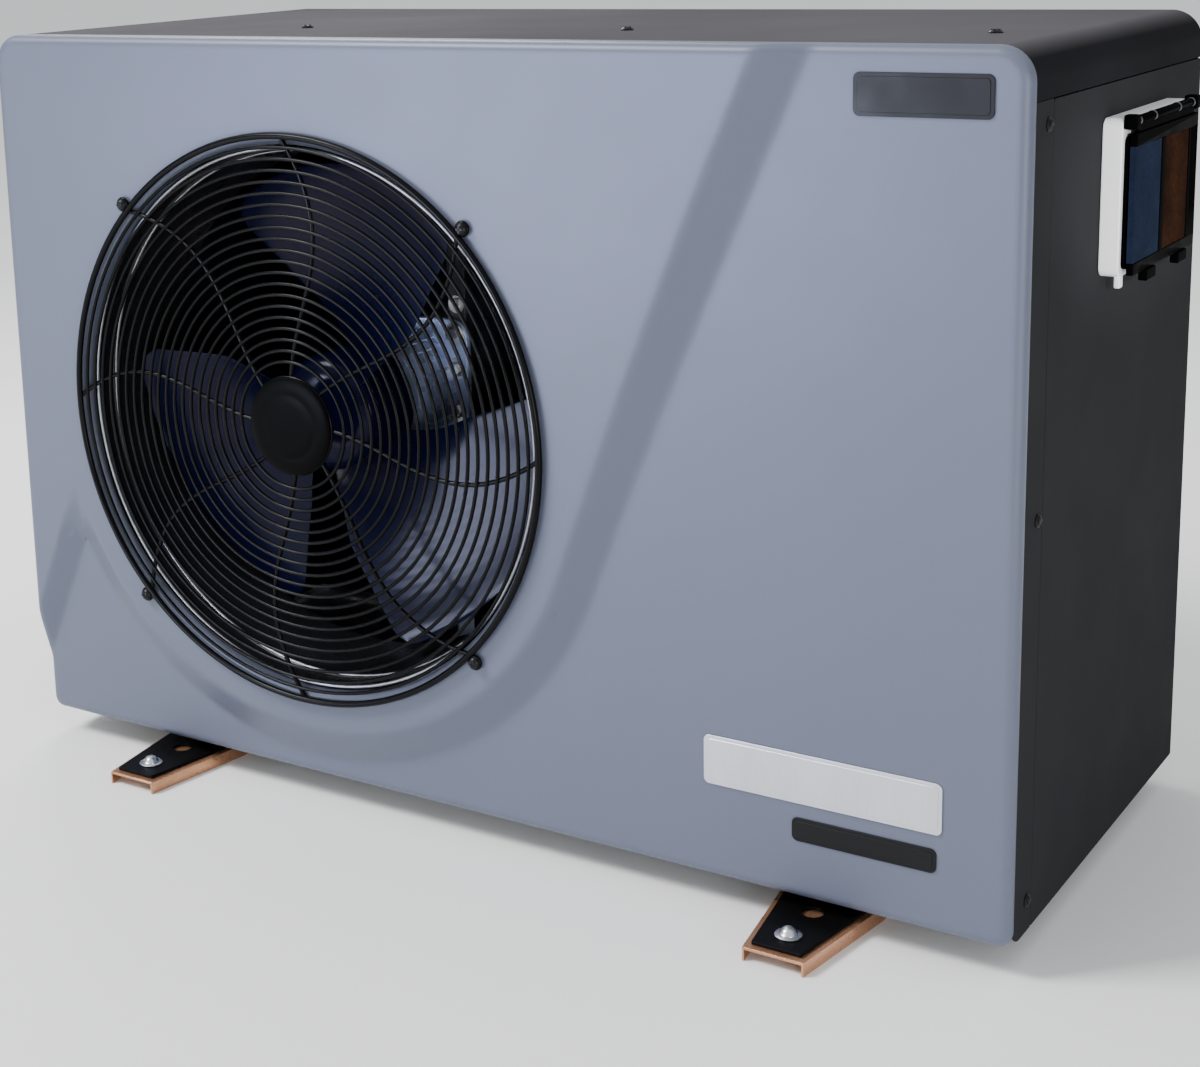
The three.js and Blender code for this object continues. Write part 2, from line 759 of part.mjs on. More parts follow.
// The lift-up cover: a frame with a thinner window, hung on studs at the two ends of its barrel.
function controllerFlap() {
  const c = CONTROLLER;
  const bottom = c.bottom + 2;
  const outline = roundedRect(FLAP_FRONT - 8, bottom, FLAP_BACK + 8, HINGE.z - 9, 4);
  const outer = sidePlate(outline, WIDTH + 20.6, WIDTH + 26);
  const neck = sidePlate(polygon([
    [FLAP_FRONT, HINGE.z - 12],
    [FLAP_BACK, HINGE.z - 12],
    [FLAP_BACK, HINGE.z],
    [FLAP_FRONT, HINGE.z],
  ]), WIDTH + 21, WIDTH + 24.5);
  const window = box(WIDTH + 24, WIDTH + 30, FLAP_FRONT + 2, FLAP_BACK - 2, bottom + 12, HINGE.z - 20);
  const barrel = revolve(rod(HINGE.radius, FLAP_FRONT, FLAP_BACK), 12).translate(HINGE.x, 0, HINGE.z);
  const stud = revolve(rod(1.7, FLAP_FRONT - 9, FLAP_BACK + 9), 8).translate(HINGE.x, 0, HINGE.z);
  const latches = [212, 300].map(
    (y) => box(WIDTH + 20.6, WIDTH + CONTROLLER_REACH, y, y + 24, bottom - 9, bottom + 4),
  );
  return join(cut(outer, window), neck, barrel, stud, ...latches);
}

const controllerButton = () => revolveRight([
  [0, 0],
  [BUTTON.radius, 0],
  [BUTTON.radius, 2.6],
  [BUTTON.radius - 1, 3.3],
  [0, 3.3],
], 12);

// ---------------------------------------------------------------- feet

// Half of the rail's width at a distance from the cabinet's front, narrower towards both ends.
const RAIL_ENDS = { half: 26, middleHalf: 43, taper: 116 };

function railPlan(inset, endInset) {
  const near = -RAIL_OVERHANG + endInset;
  const far = DEPTH + RAIL_OVERHANG - endInset;
  const end = RAIL_ENDS.half - inset;
  const middle = RAIL_ENDS.middleHalf - inset;
  const shoulder = -RAIL_OVERHANG + RAIL_ENDS.taper;
  return polygon([
    [-end, near],
    [end, near],
    [middle, shoulder],
    [middle, DEPTH - shoulder],
    [end, far],
    [-end, far],
    [-middle, DEPTH - shoulder],
    [-middle, shoulder],
  ]);
}

const BOLT_INSET = 29; // from the rail's end to the foot bolt
const PAD_HOLE_INSET = 74;

function endPlaces(inset) {
  return [-RAIL_OVERHANG + inset, DEPTH + RAIL_OVERHANG - inset];
}

// A channel with its two flanges down: the rail is open underneath and at both ends.
function footRail() {
  const plate = 2.5;
  const top = -FOOT_DROP + RAIL_HEIGHT;
  const channel = uprightPlate(railPlan(0, 0), -FOOT_DROP, top);
  const room = uprightPlate(railPlan(plate, -5), -FOOT_DROP - 5, top - plate);
  const holes = endPlaces(BOLT_INSET).map((y) => revolveUp(rod(4.8, -40, 0), 8).translate(0, y, 0));
  return cut(channel, room, ...holes);
}

// A rubber strip on the rail: thin tongues at both ends, a thick part that carries the cabinet.
function footPad() {
  const bottom = -FOOT_DROP + RAIL_HEIGHT + 0.3;
  const tongue = uprightPlate(railPlan(5, 6), bottom, bottom + 3);
  const block = uprightPlate(railPlan(5, 6), bottom + 1, -0.3);
  const ends = [box(-60, 60, -80, 80, -20, 5), box(-60, 60, DEPTH - 80, DEPTH + 80, -20, 5)];
  const boltHoles = endPlaces(BOLT_INSET).map((y) => revolveUp(rod(4.8, -40, 0), 8).translate(0, y, 0));
  const reliefHole = (y) => revolveUp(rod(9, -40, 0), 12).translate(0, y, 0);
  const reliefHoles = endPlaces(PAD_HOLE_INSET).map(reliefHole);
  return cut(join(tongue, cut(block, ...ends)), ...boltHoles, ...reliefHoles);
}

const footBolt = () => revolveUp([
  [0, -22],
  [4, -22],
  [4, -10.3],
  [11, -10.3],
  [11, -8.8],
  [7.2, -8.6],
  [6.6, -6],
  [3.8, -3.6],
  [0, -3],
], 10);

// ---------------------------------------------------------------- put the pieces together

addPart('front_panel', frontPanel(), 'silver');
addPart('top_cover', topCover(), 'hood');
addPart('right_front_post', frontPost(WIDTH, SIDE_SCREW_HEIGHTS), 'charcoal');
addPart('left_front_post', frontPost(0, []), 'charcoal');
addPart('right_side_panel', rightSidePanel(), 'charcoal');
addPart('left_side_grille', leftSideGrille(), 'charcoal');
addPart('rear_grille', rearGrille(), 'charcoal');
addPart('rear_panel', rearPanel(), 'charcoal');
addPart('base_pan', basePan(), 'galvanised');
addPart('partition_plate', partitionPlate(), 'galvanised');

const panelScrew = () => domeScrew({ head: 5.5, headHeight: 2.6, shank: 2.3, length: 11 });
TOP_SCREWS.forEach(([x, y], i) => addPart(
  `top_screw_${i + 1}`,
  panelScrew().rotateX(-Math.PI / 2),
  'blackPlastic',
  [x, y, HEIGHT + GAP + 2.6],
));
SIDE_SCREW_HEIGHTS.forEach((z, i) => addPart(
  `side_screw_${i + 1}`,
  panelScrew().rotateZ(Math.PI / 2),
  'blackPlastic',
  [WIDTH + GAP + 2.6, SIDE_SCREW_Y, z],
));

const fanCentre = [FAN_X, 0, FAN_Z];
addPart('fan_shroud', fanShroud(), 'galvanised', fanCentre);
addPart('fan_guard', fanGuard(), 'blackWire', fanCentre);
addPart('guard_badge', guardBadge(), 'blackPlastic', fanCentre);
guardScrewPlaces().forEach(([x, z], i) => addPart(
  `guard_screw_${i + 1}`,
  domeScrew({ head: 5, headHeight: 4, shank: 2.5, length: 14 }),
  'blackPlastic',
  [x, GUARD_SCREW_FRONT, z],
));
addPart('fan_rotor', fanRotor(), 'navyBlade', fanCentre);
addPart('motor_shaft', revolve(rod(SHAFT_RADIUS, 46, 145), 16), 'steel', fanCentre);
addPart('motor_body', motorBody(), 'aluminium', fanCentre);
addPart('motor_bracket', motorBracket(), 'steel', fanCentre);

addPart('evaporator_coil', evaporatorCoil(), 'coilFin');
addPart('compressor', compressor(), 'blackPlastic', [800, 165, 0]);
addPart('accumulator', accumulator(), 'blackPlastic', [700, 130, 0]);
addPart('heat_exchanger', heatExchanger(), 'blackPlastic', [WATER_X, 350, 0]);
addPart('four_way_valve', fourWayValve(), 'copper', [745, 250, 400]);
addPart('expansion_valve', expansionValve(), 'copper', [700, 330, 180]);
addPart('discharge_pipe', bentRod([
  [800, 165, 289],
  [800, 165, 325],
  [790, 205, 340],
  [745, 245, 330],
  [745, 250, 365],
], 5), 'copper');
addPart('suction_pipe', bentRod([
  [700, 130, 245],
  [700, 130, 290],
  [702, 190, 320],
  [719, 248, 330],
  [719, 250, 365],
], 5), 'copper');
addPart('liquid_pipe', bentRod([
  [700, 330, 233],
  [700, 330, 290],
  [740, 345, 330],
  [790, 350, 330],
  [820, 350, 330],
], 4), 'copper');

for (const [use, z] of Object.entries(WATER_HEIGHTS)) {
  addPart(`water_${use}_pipe`, waterPipe(), 'whitePlastic', [WATER_X, 0, z]);
  addPart(`${use}_union_nut`, unionNut(), 'blackPlastic', [WATER_X, 0, z]);
}

addPart('electrical_box', electricalBox(), 'galvanised');
addPart('electrical_cover', electricalCover(), 'galvanised');
addPart('heat_sink', heatSink(), 'aluminium');
addPart('cable_gland', cableGland(), 'blackPlastic', GLAND_PLACE);
addPart('drain_nozzle', drainNozzle(), 'blackPlastic', DRAIN_PLACE);

addPart('controller_base', controllerBase(), 'whitePlastic');
addPart('controller_fascia', controllerFascia(), 'blackPlastic');
addPart('controller_flap', controllerFlap(), 'smokedPlastic');
BUTTON.heights.forEach((z, i) => addPart(
  `controller_button_${i + 1}`,
  controllerButton(),
  'blackPlastic',
  [BUTTON.x, BUTTON.y, z],
));

for (const [side, x] of Object.entries(FOOT_CENTRES)) {
  addPart(`foot_rail_${side}`, footRail(), 'copper', [x, 0, 0]);
  addPart(`foot_pad_${side}`, footPad(), 'rubber', [x, 0, 0]);
  endPlaces(BOLT_INSET).forEach((y, i) => addPart(
    `foot_bolt_${side}_${i === 0 ? 'front' : 'rear'}`,
    footBolt(),
    'steel',
    [x, y, 0],
  ));
}

unit.position.set(-(WIDTH + CONTROLLER_REACH) / 2, -DEPTH / 2, FOOT_DROP);

export default unit;
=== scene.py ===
"""Finished look of a pool heat pump unit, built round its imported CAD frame.

Shapes are drawn in millimetres from the cabinet's lower left front corner: X to the right,
Y to the back, Z up. add() turns them into metres in the row frame.
"""
import math

import bmesh
import bpy
import numpy as np
from mathutils import Matrix, Vector
from mathutils.geometry import delaunay_2d_cdt


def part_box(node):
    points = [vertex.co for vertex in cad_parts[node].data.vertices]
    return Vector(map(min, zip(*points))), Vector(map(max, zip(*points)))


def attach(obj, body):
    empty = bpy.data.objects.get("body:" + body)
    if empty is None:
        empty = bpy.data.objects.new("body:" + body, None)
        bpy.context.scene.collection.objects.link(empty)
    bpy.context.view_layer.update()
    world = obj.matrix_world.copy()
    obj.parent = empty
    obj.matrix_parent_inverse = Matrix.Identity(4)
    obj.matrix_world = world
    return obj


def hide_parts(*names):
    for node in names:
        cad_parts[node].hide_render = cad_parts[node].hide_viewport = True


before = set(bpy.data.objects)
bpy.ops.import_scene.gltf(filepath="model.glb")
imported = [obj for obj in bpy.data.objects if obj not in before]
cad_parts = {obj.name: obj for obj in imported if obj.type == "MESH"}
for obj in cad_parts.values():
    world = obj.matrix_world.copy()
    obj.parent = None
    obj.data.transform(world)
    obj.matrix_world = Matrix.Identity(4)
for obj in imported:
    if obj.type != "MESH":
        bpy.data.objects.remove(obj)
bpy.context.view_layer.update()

MM = 0.001
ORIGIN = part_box("front_panel")[0]


class Extent:
    """A CAD node's box in millimetres from the cabinet's corner."""

    def __init__(self, node):
        low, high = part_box(node)
        self.left, self.front, self.bottom = (low - ORIGIN) / MM
        self.right, self.back, self.top = (high - ORIGIN) / MM
        self.x, self.y, self.z = ((low + high) / 2 - ORIGIN) / MM


PANEL = Extent("front_panel")
WIDTH, HEIGHT, PANEL_BACK = PANEL.right, PANEL.top, PANEL.back
DEPTH = Extent("top_cover").back
HOOD_BOTTOM = Extent("top_cover").bottom
BADGE = Extent("guard_badge")
FAN_X, FAN_Z, BADGE_RADIUS = BADGE.x, BADGE.z, (BADGE.right - BADGE.left) / 2
FAN_CENTRE = (FAN_X, 0, FAN_Z)

# Sizes not read from a node's box, the same as in the part's source.
ROTOR_RADIUS = 224
HUB_RADIUS = 54
GUARD_RADIUS = 258
HOLE_RADIUS = 246
CORNER = 26
LOW_CORNER = 12  # the lower corners are tighter than the upper ones
RELIEF = 14  # step between the front panel's two levels
EDGE_ROUND = 8  # rounding along the front panel's edges
BACK_STRIP = 24  # strip of the top cover that hangs at the back


# ---------------- shapes: (points, faces)

def along(axis, u, v, w):
    """A point from two coordinates across an axis and one along it."""
    return {"x": (w, u, v), "y": (u, w, v), "z": (u, v, w)}[axis]


def merged(*shapes):
    """Several shapes as one."""
    points, faces = [], []
    for shape_points, shape_faces in shapes:
        start = len(points)
        points.extend(shape_points)
        faces.extend(tuple(start + i for i in face) for face in shape_faces)
    return points, faces


def moved(shape, x, y, z):
    """A shape, shifted."""
    points, faces = shape
    return [(p[0] + x, p[1] + y, p[2] + z) for p in points], faces


def lathe(profile, axis, centre=(0, 0, 0), segments=48):
    """Turns (radius, height) pairs about an axis. A profile off the axis closes on itself."""
    points, rings = [], []
    for radius, height in profile:
        count = 1 if radius == 0 else segments
        rings.append([len(points) + i for i in range(count)])
        for i in range(count):
            turn = 2 * math.pi * i / segments
            offset = along(axis, radius * math.cos(turn), radius * math.sin(turn), height)
            points.append(tuple(a + b for a, b in zip(centre, offset)))
    pairs = list(zip(rings, rings[1:]))
    if profile[0][0] and profile[-1][0]:
        pairs.append((rings[-1], rings[0]))
    faces = []
    for a, b in pairs:
        for i in range(segments):
            j = (i + 1) % segments
            face = (a[i % len(a)], a[j % len(a)], b[j % len(b)], b[i % len(b)])
            face = tuple(dict.fromkeys(face))
            if len(face) > 2:
                faces.append(face)
    return points, faces


def ring(radius, wire, centre, segments, sides=10, axis="y"):
    """A round wire bent into a circle."""
    section = []
    for i in range(sides):
        turn = 2 * math.pi * i / sides
        section.append((radius + wire * math.cos(turn), wire * math.sin(turn)))
    return lathe(section, axis, centre, segments)


def tube(path, radius, sides=10):
    """A round bar through the points of a path, with flat ends."""
    path = [Vector(p) for p in path]
    points, faces = [], []
    across = None
    for i, here in enumerate(path):
        heading = (path[min(i + 1, len(path) - 1)] - path[max(i - 1, 0)]).normalized()
        across = heading.orthogonal() if across is None else across - heading * across.dot(heading)
        across.normalize()
        up = heading.cross(across)
        for k in range(sides):
            turn = 2 * math.pi * k / sides
            points.append(tuple(here + radius * (math.cos(turn) * across + math.sin(turn) * up)))
    for i in range(len(path) - 1):
        for k in range(sides):
            a, b = i * sides + k, i * sides + (k + 1) % sides
            faces.append((a, b, b + sides, a + sides))
    last = (len(path) - 1) * sides
    faces.append(tuple(range(sides)))
    faces.append(tuple(last + k for k in range(sides)))
    return points, faces


def prism(outline, axis, start, end):
    """An outline across an axis, drawn out along it."""
    count = len(outline)
    points = [along(axis, u, v, w) for w in (start, end) for u, v in outline]
    faces = [tuple(range(count)), tuple(range(count, 2 * count))]
    faces += [(i, (i + 1) % count, count + (i + 1) % count, count + i) for i in range(count)]
    return points, faces


def block(left, right, front, back, bottom, top):
    """A plain box."""
    return prism([(left, front), (right, front), (right, back), (left, back)], "z", bottom, top)


def rounded_rect(left, bottom, right, top, radius, steps=8, low=None):
    """Outline of a rectangle with round corners, from the lower right one on, against the clock.

    low is the radius of the lower two corners, where it isn't the same.
    """
    low = radius if low is None else low
    centres = [
        (right - low, bottom + low, low, -90),
        (right - radius, top - radius, radius, 0),
        (left + radius, top - radius, radius, 90),
        (left + low, bottom + low, low, 180),
    ]
    outline = []
    for u, v, reach, start in centres:
        for i in range(steps + 1):
            turn = math.radians(start + 90 * i / steps)
            outline.append((u + reach * math.cos(turn), v + reach * math.sin(turn)))
    return outline


def upper_corners(outline):
    """The part of a rounded_rect outline that makes its two upper corners."""
    quarter = len(outline) // 4
    return outline[quarter:3 * quarter]


def hexagon(radius, turned=0.0, centre=(0, 0)):
    """Corners of a hexagon, turned by a share of a sixth of a turn."""
    turns = [math.pi * (i + turned) / 3 for i in range(6)]
    return [(centre[0] + radius * math.cos(t), centre[1] + radius * math.sin(t)) for t in turns]


# ---------------- materials

MICRON = 0.000001
# Pale colour painted on faces that look up, standing in for the light that falls on them from above.
PAINTED_TOP_LIGHT_COLOR = (0.36, 0.34, 0.37, 1)
BRUSHED_UP = (1, 1, 0.04)
BRUSHED_ACROSS = (0.04, 1, 1)
LOOKS = {}


def noise(tree, coords, scale, detail=3.0):
    """A noise texture's value."""
    made = tree.nodes.new("ShaderNodeTexNoise")
    made.inputs["Scale"].default_value = scale
    made.inputs["Detail"].default_value = detail
    tree.links.new(coords, made.inputs["Vector"])
    return made.outputs["Fac"]


def ranged(tree, source, low, high, start=0.3, end=0.7):
    """Maps a texture's value from start..end to low..high."""
    made = tree.nodes.new("ShaderNodeMapRange")
    for socket, value in (("From Min", start), ("From Max", end), ("To Min", low), ("To Max", high)):
        made.inputs[socket].default_value = value
    tree.links.new(source, made.inputs["Value"])
    return made.outputs["Result"]


def finish(name, color, roughness, metallic=0.0, grain=900, depth=20, mottle=7, shade=0.06,
           polish=0.06, stretch=(1, 1, 1), painted_top_light=0.0, **sockets):
    """Adds a look: a material whose colour, roughness and surface all vary a little.

    grain is the scale of its fine texture and depth its height in microns, mottle the scale
    of its broad unevenness, shade and polish how far colour and roughness stray, stretch the
    drawn direction of a brushed surface, the top-light amount how much pale colour is painted on
    faces that look up as light from above, and sockets the values of other inputs of the shader.
    """
    material = bpy.data.materials.new(name)
    material.use_nodes = True
    tree = material.node_tree
    shader = tree.nodes["Principled BSDF"]
    coords = tree.nodes.new("ShaderNodeTexCoord").outputs["Object"]
    drawn = tree.nodes.new("ShaderNodeMapping")
    drawn.inputs["Scale"].default_value = stretch
    tree.links.new(coords, drawn.inputs["Vector"])

    broad = noise(tree, coords, mottle)
    fine = noise(tree, drawn.outputs["Vector"], grain, 2.0)
    both = tree.nodes.new("ShaderNodeMath")
    both.operation = "MULTIPLY"
    tree.links.new(ranged(tree, broad, 1 - shade, 1 + shade), both.inputs[0])
    tree.links.new(ranged(tree, fine, 1 - shade / 2, 1 + shade / 2), both.inputs[1])
    tint = tree.nodes.new("ShaderNodeVectorMath")
    tint.operation = "SCALE"
    tint.inputs[0].default_value = color
    tree.links.new(both.outputs[0], tint.inputs["Scale"])
    # Faces that look up get a paler colour here: painted light from above.
    tree.links.new(with_painted_top_light(tree, tint.outputs[0], broad, painted_top_light), shader.inputs["Base Color"])

    rough = ranged(tree, noise(tree, drawn.outputs["Vector"], mottle * 5),
                   max(roughness - polish, 0.02), roughness + polish)
    tree.links.new(rough, shader.inputs["Roughness"])
    bump = tree.nodes.new("ShaderNodeBump")
    bump.inputs["Distance"].default_value = depth * MICRON
    tree.links.new(fine, bump.inputs["Height"])
    tree.links.new(bump.outputs["Normal"], shader.inputs["Normal"])
    shader.inputs["Metallic"].default_value = metallic
    for socket, value in sockets.items():
        shader.inputs[socket.replace("_", " ")].default_value = value
    LOOKS[name] = material


def with_painted_top_light(tree, color, broad, amount):
    """The colour, with pale colour mixed in where the surface faces up: painted light from above."""
    if not amount:
        return color
    normal = tree.nodes.new("ShaderNodeNewGeometry").outputs["Normal"]
    parts = tree.nodes.new("ShaderNodeSeparateXYZ")
    tree.links.new(normal, parts.inputs[0])
    up = ranged(tree, parts.outputs["Z"], 0.0, amount, 0.6, 1.0)
    share = tree.nodes.new("ShaderNodeMath")
    share.operation = "MULTIPLY"
    tree.links.new(up, share.inputs[0])
    tree.links.new(ranged(tree, broad, 0.55, 1.0), share.inputs[1])
    mix = tree.nodes.new("ShaderNodeMix")
    mix.data_type = "RGBA"
    tree.links.new(share.outputs[0], mix.inputs["Factor"])
    tree.links.new(color, mix.inputs["A"])
    mix.inputs["B"].default_value = PAINTED_TOP_LIGHT_COLOR
    return mix.outputs["Result"]


finish("silver_paint", (0.115, 0.13, 0.184), 0.45, 0.15, grain=2600, depth=12, mottle=3,
       shade=0.025, polish=0.015, Specular_IOR_Level=0.32, Coat_Weight=0.08, Coat_Roughness=0.35)
# The hood's dark colour paints the shade on its rounded sides; the pale mix on its top paints the light
# from above.
finish("hood_paint", (0.014, 0.014, 0.016), 0.5, grain=2200, depth=15, mottle=1.5, shade=0.05,
       painted_top_light=0.225, Specular_IOR_Level=0.004)
# The casing's grey, darkened as painted shade for the sides, posts, grilles and back.
finish("charcoal_paint", (0.026, 0.0265, 0.0285), 0.55, grain=1800, mottle=2.5, shade=0.03,
       Specular_IOR_Level=0.004)
finish("charcoal_gloss", (0.02, 0.021, 0.024), 0.3, 0.5, grain=1800, depth=10, mottle=6, shade=0.08)
# Steel darkened below its own colour; on the motor bracket this paints the shade behind the fan.
finish("darkened_steel", (0.1, 0.105, 0.12), 0.45, 0.9, grain=1200, depth=10, shade=0.1,
       stretch=BRUSHED_UP)
finish("galvanised", (0.42, 0.43, 0.44), 0.42, 0.8, grain=60, depth=10, mottle=24, shade=0.14,
       polish=0.12)
finish("guard_wire", (0.0025, 0.0025, 0.003), 0.24, grain=3000, depth=10, shade=0.1, polish=0.04,
       Specular_IOR_Level=0.09)
finish("black_plastic", (0.001, 0.001, 0.0011), 0.42, grain=2400, depth=30, shade=0.1,
       Specular_IOR_Level=0.03)
# The blades are black plastic; the navy in this colour paints the blue reflection of the sky.
finish("fan_plastic", (0.0022, 0.0034, 0.026), 0.18, grain=400, depth=0.3, mottle=5, shade=0.1,
       polish=0.01, Specular_IOR_Level=0.16)
finish("steel", (0.58, 0.59, 0.6), 0.28, 1.0, grain=1200, depth=8, stretch=BRUSHED_ACROSS)
finish("motor_paint", (0.3, 0.36, 0.56), 0.28, 0.35, grain=1200, shade=0.12, polish=0.08)
finish("coil_fins", (0.05, 0.06, 0.08), 0.4, 0.7, grain=700, depth=10, mottle=15, shade=0.2)
finish("compressor_paint", (0.011, 0.011, 0.012), 0.4, grain=1300, depth=50, shade=0.1)
finish("exchanger_shell", (0.045, 0.045, 0.05), 0.5, grain=1500, depth=40, shade=0.08)
finish("copper_tube", (0.6, 0.26, 0.14), 0.28, 1.0, depth=10, mottle=18, shade=0.16, polish=0.12)
finish("pipe_plastic", (0.55, 0.56, 0.57), 0.4, grain=1700, shade=0.04)
finish("bare_aluminium", (0.6, 0.61, 0.63), 0.35, 1.0, grain=1000, depth=10, stretch=BRUSHED_UP)
finish("white_plastic", (0.88, 0.885, 0.9), 0.34, grain=2200, shade=0.02)
finish("display_glass", (0.0095, 0.0145, 0.03), 0.1, grain=300, depth=4, mottle=20, shade=0.25,
       polish=0.03, Specular_IOR_Level=0.0005)
finish("smoked_plastic", (0.0015, 0.0015, 0.0015), 0.22, grain=2000, depth=10, shade=0.1,
       Specular_IOR_Level=0.0008)
finish("amber_window", (0.0165, 0.0063, 0.0028), 0.12, grain=300, depth=4, mottle=26, shade=0.5,
       polish=0.04, Specular_IOR_Level=0.0005)
finish("button_plastic", (0.1, 0.1, 0.11), 0.5, grain=2200, depth=30, shade=0.05)
finish("screw_black", (0.004, 0.004, 0.0045), 0.35, grain=1500, shade=0.12, Specular_IOR_Level=0.2)
# The feet's copper colour paints the reflection of an orange wooden floor in glossy black steel.
finish("foot_copper", (0.52, 0.27, 0.15), 0.32, 0.75, grain=700, depth=30, mottle=16, shade=0.18,
       polish=0.12)
finish("rubber", (0.003, 0.003, 0.0035), 0.36, grain=1200, depth=40, mottle=14, shade=0.2,
       Specular_IOR_Level=0.06)
finish("floor", (0.9, 0.9, 0.9), 0.8, grain=40, depth=100, mottle=0.8, shade=0.01,
       Specular_IOR_Level=0.1)


# ---------------- pieces

def add(name, shape, look, cad=None, body="cabinet", bevel=0.0, smooth=32, slot=None):
    """Makes a piece from a shape in millimetres."""
    points, faces = shape
    mesh = bpy.data.meshes.new(name)
    mesh.from_pydata([ORIGIN + Vector(p) * MM for p in points], [], faces)
    weld(mesh)
    place(name, mesh, look, cad, body, bevel, smooth, slot)


def softened(node, look, bevel):
    """A CAD node's shape again, without its facet lines and with rounded edges."""
    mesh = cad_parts[node].data.copy()
    weld(mesh, facet_angle=1)
    place(f"{node}_finished", mesh, look, node, "cabinet", bevel, 32, None)


def weld(mesh, facet_angle=0):
    """Joins doubled points, drops lines between faces that meet flatter than facet_angle degrees
    and turns all faces outwards."""
    skin = bmesh.new()
    skin.from_mesh(mesh)
    bmesh.ops.remove_doubles(skin, verts=skin.verts, dist=1e-6)
    if facet_angle:
        bmesh.ops.dissolve_limit(skin, angle_limit=math.radians(facet_angle), verts=skin.verts,
                                 edges=skin.edges)
    bmesh.ops.recalc_face_normals(skin, faces=skin.faces)
    skin.to_mesh(mesh)
    skin.free()


def place(name, mesh, look, cad, body, bevel, smooth, slot):
    """Puts a mesh in the scene as a piece that rides on body and stands for the CAD node cad.

    Edges sharper than `smooth` degrees are rounded by bevel millimetres, or stay sharp at 0.
    """
    for face in mesh.polygons:
        face.use_smooth = True
    piece = bpy.data.objects.new(name, mesh)
    bpy.context.scene.collection.objects.link(piece)
    mesh.materials.clear()
    mesh.materials.append(LOOKS[look])
    if bevel:
        rounding = piece.modifiers.new("rounding", "BEVEL")
        rounding.width = bevel * MM
        rounding.segments = 2
        rounding.limit_method = "ANGLE"
        rounding.angle_limit = math.radians(smooth)
        flat = piece.modifiers.new("flat", "WEIGHTED_NORMAL")
        flat.weight = 100
        flat.keep_sharp = True
    else:
        mesh.set_sharp_from_angle(angle=math.radians(smooth))
    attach(piece, body)
    slot or look
    if cad:
        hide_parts(cad)
    return piece


# ---------------- front panel

BEYOND_LEFT, BEYOND_TOP = -90, 730  # outside the panel, where a level's outline is closed
ARC_START = -20  # degrees, where the arc round the fan begins

# The slope between the panel's levels has an upper and a lower line. Each comes down from top in
# a curve drawn towards pull, follows an arc clockwise under the fan from ARC_START to apex_turn,
# and leaves in a straight leg from apex to exit, at the left.
RAISED_EDGE = {
    "radius": 285,
    "apex_turn": 196,
    "apex": (64, 258),
    "exit": (-50, -9),
    "top": (814, BEYOND_TOP),
    "pull": (702, 490),
}
LOW_EDGE = {
    "radius": 322,
    "apex_turn": 209,
    "apex": (66, 182),
    "exit": (-50, -61),
    "top": (862, BEYOND_TOP),
    "pull": (690, 345),
}
LIP_START = HOLE_RADIUS + 11  # radius at which the panel's face rolls into the air outlet
LIP_PROFILE = [(254.4, 0.4), (252.2, 1.6), (250.6, 3.6), (249.6, 6.2), (249.2, 9),
               (248.8, PANEL_BACK)]  # (radius, depth)
PANEL_SHEET = 1.6


def relief_line(edge, sweep_steps=30, arc_steps=90, leg_steps=24):
    """One edge of the slope between the panel's two levels, from its top to its left end."""
    start_turn, end_turn = math.radians(ARC_START), math.radians(edge["apex_turn"] - 360)

    def on_arc(turn):
        return Vector((FAN_X + edge["radius"] * math.cos(turn), FAN_Z + edge["radius"] * math.sin(turn)))

    top, pull, low = Vector(edge["top"]), Vector(edge["pull"]), on_arc(start_turn)
    line = []
    for i in range(sweep_steps):
        t = i / sweep_steps
        line.append((1 - t) ** 2 * top + 2 * t * (1 - t) * pull + t ** 2 * low)
    for i in range(arc_steps + 1):
        line.append(on_arc(start_turn + (end_turn - start_turn) * i / arc_steps))
    apex, end = Vector(edge["apex"]), Vector(edge["exit"])
    line += [apex.lerp(end, i / leg_steps) for i in range(leg_steps + 1)]
    return np.array(line)


def closed_level(line):
    """The region on the raised side of a relief line."""
    return np.vstack([line, [(BEYOND_LEFT, line[-1][1]), (BEYOND_LEFT, BEYOND_TOP)]])


def inside(points, outline):
    """Which points lie inside a closed outline."""
    hit = np.zeros(len(points), bool)
    for (ax, ay), (bx, by) in zip(outline, np.roll(outline, -1, axis=0)):
        spans = (ay > points[:, 1]) != (by > points[:, 1])
        if ay != by:
            hit ^= spans & (points[:, 0] < (bx - ax) * (points[:, 1] - ay) / (by - ay) + ax)
    return hit


def distance_to(points, line):
    """How far each point lies from a line of straight legs."""
    nearest = np.full(len(points), 1e9)
    for a, b in zip(line, line[1:]):
        leg = b - a
        t = np.clip(((points - a) @ leg) / (leg @ leg), 0, 1)
        nearest = np.minimum(nearest, np.linalg.norm(points - a - t[:, None] * leg, axis=1))
    return nearest


def slope_height(share, blend=0.22):
    """Depth below the raised level for a share 0..1 of the slope, with both its edges rounded."""
    full = 1 - blend
    if share < blend:
        return RELIEF * share ** 2 / (2 * blend * full)
    if share > full:
        return RELIEF * (1 - (1 - share) ** 2 / (2 * blend * full))
    return RELIEF * (share - blend / 2) / full


def panel_depths(points):
    """How far back the panel's face lies at each (x, z) point."""
    raised, low = relief_line(RAISED_EDGE), relief_line(LOW_EDGE)
    to_raised, to_low = distance_to(points, raised), distance_to(points, low)
    share = to_raised / (to_raised + to_low)
    share[inside(points, closed_level(raised))] = 0
    share[~inside(points, closed_level(low))] = 1
    depths = np.array([slope_height(s) for s in share])
    border = np.array(panel_outline(0))
    inset = np.clip(distance_to(points, np.vstack([border, border[:1]])), 0, EDGE_ROUND)
    return depths + EDGE_ROUND - np.sqrt(EDGE_ROUND ** 2 - (EDGE_ROUND - inset) ** 2)


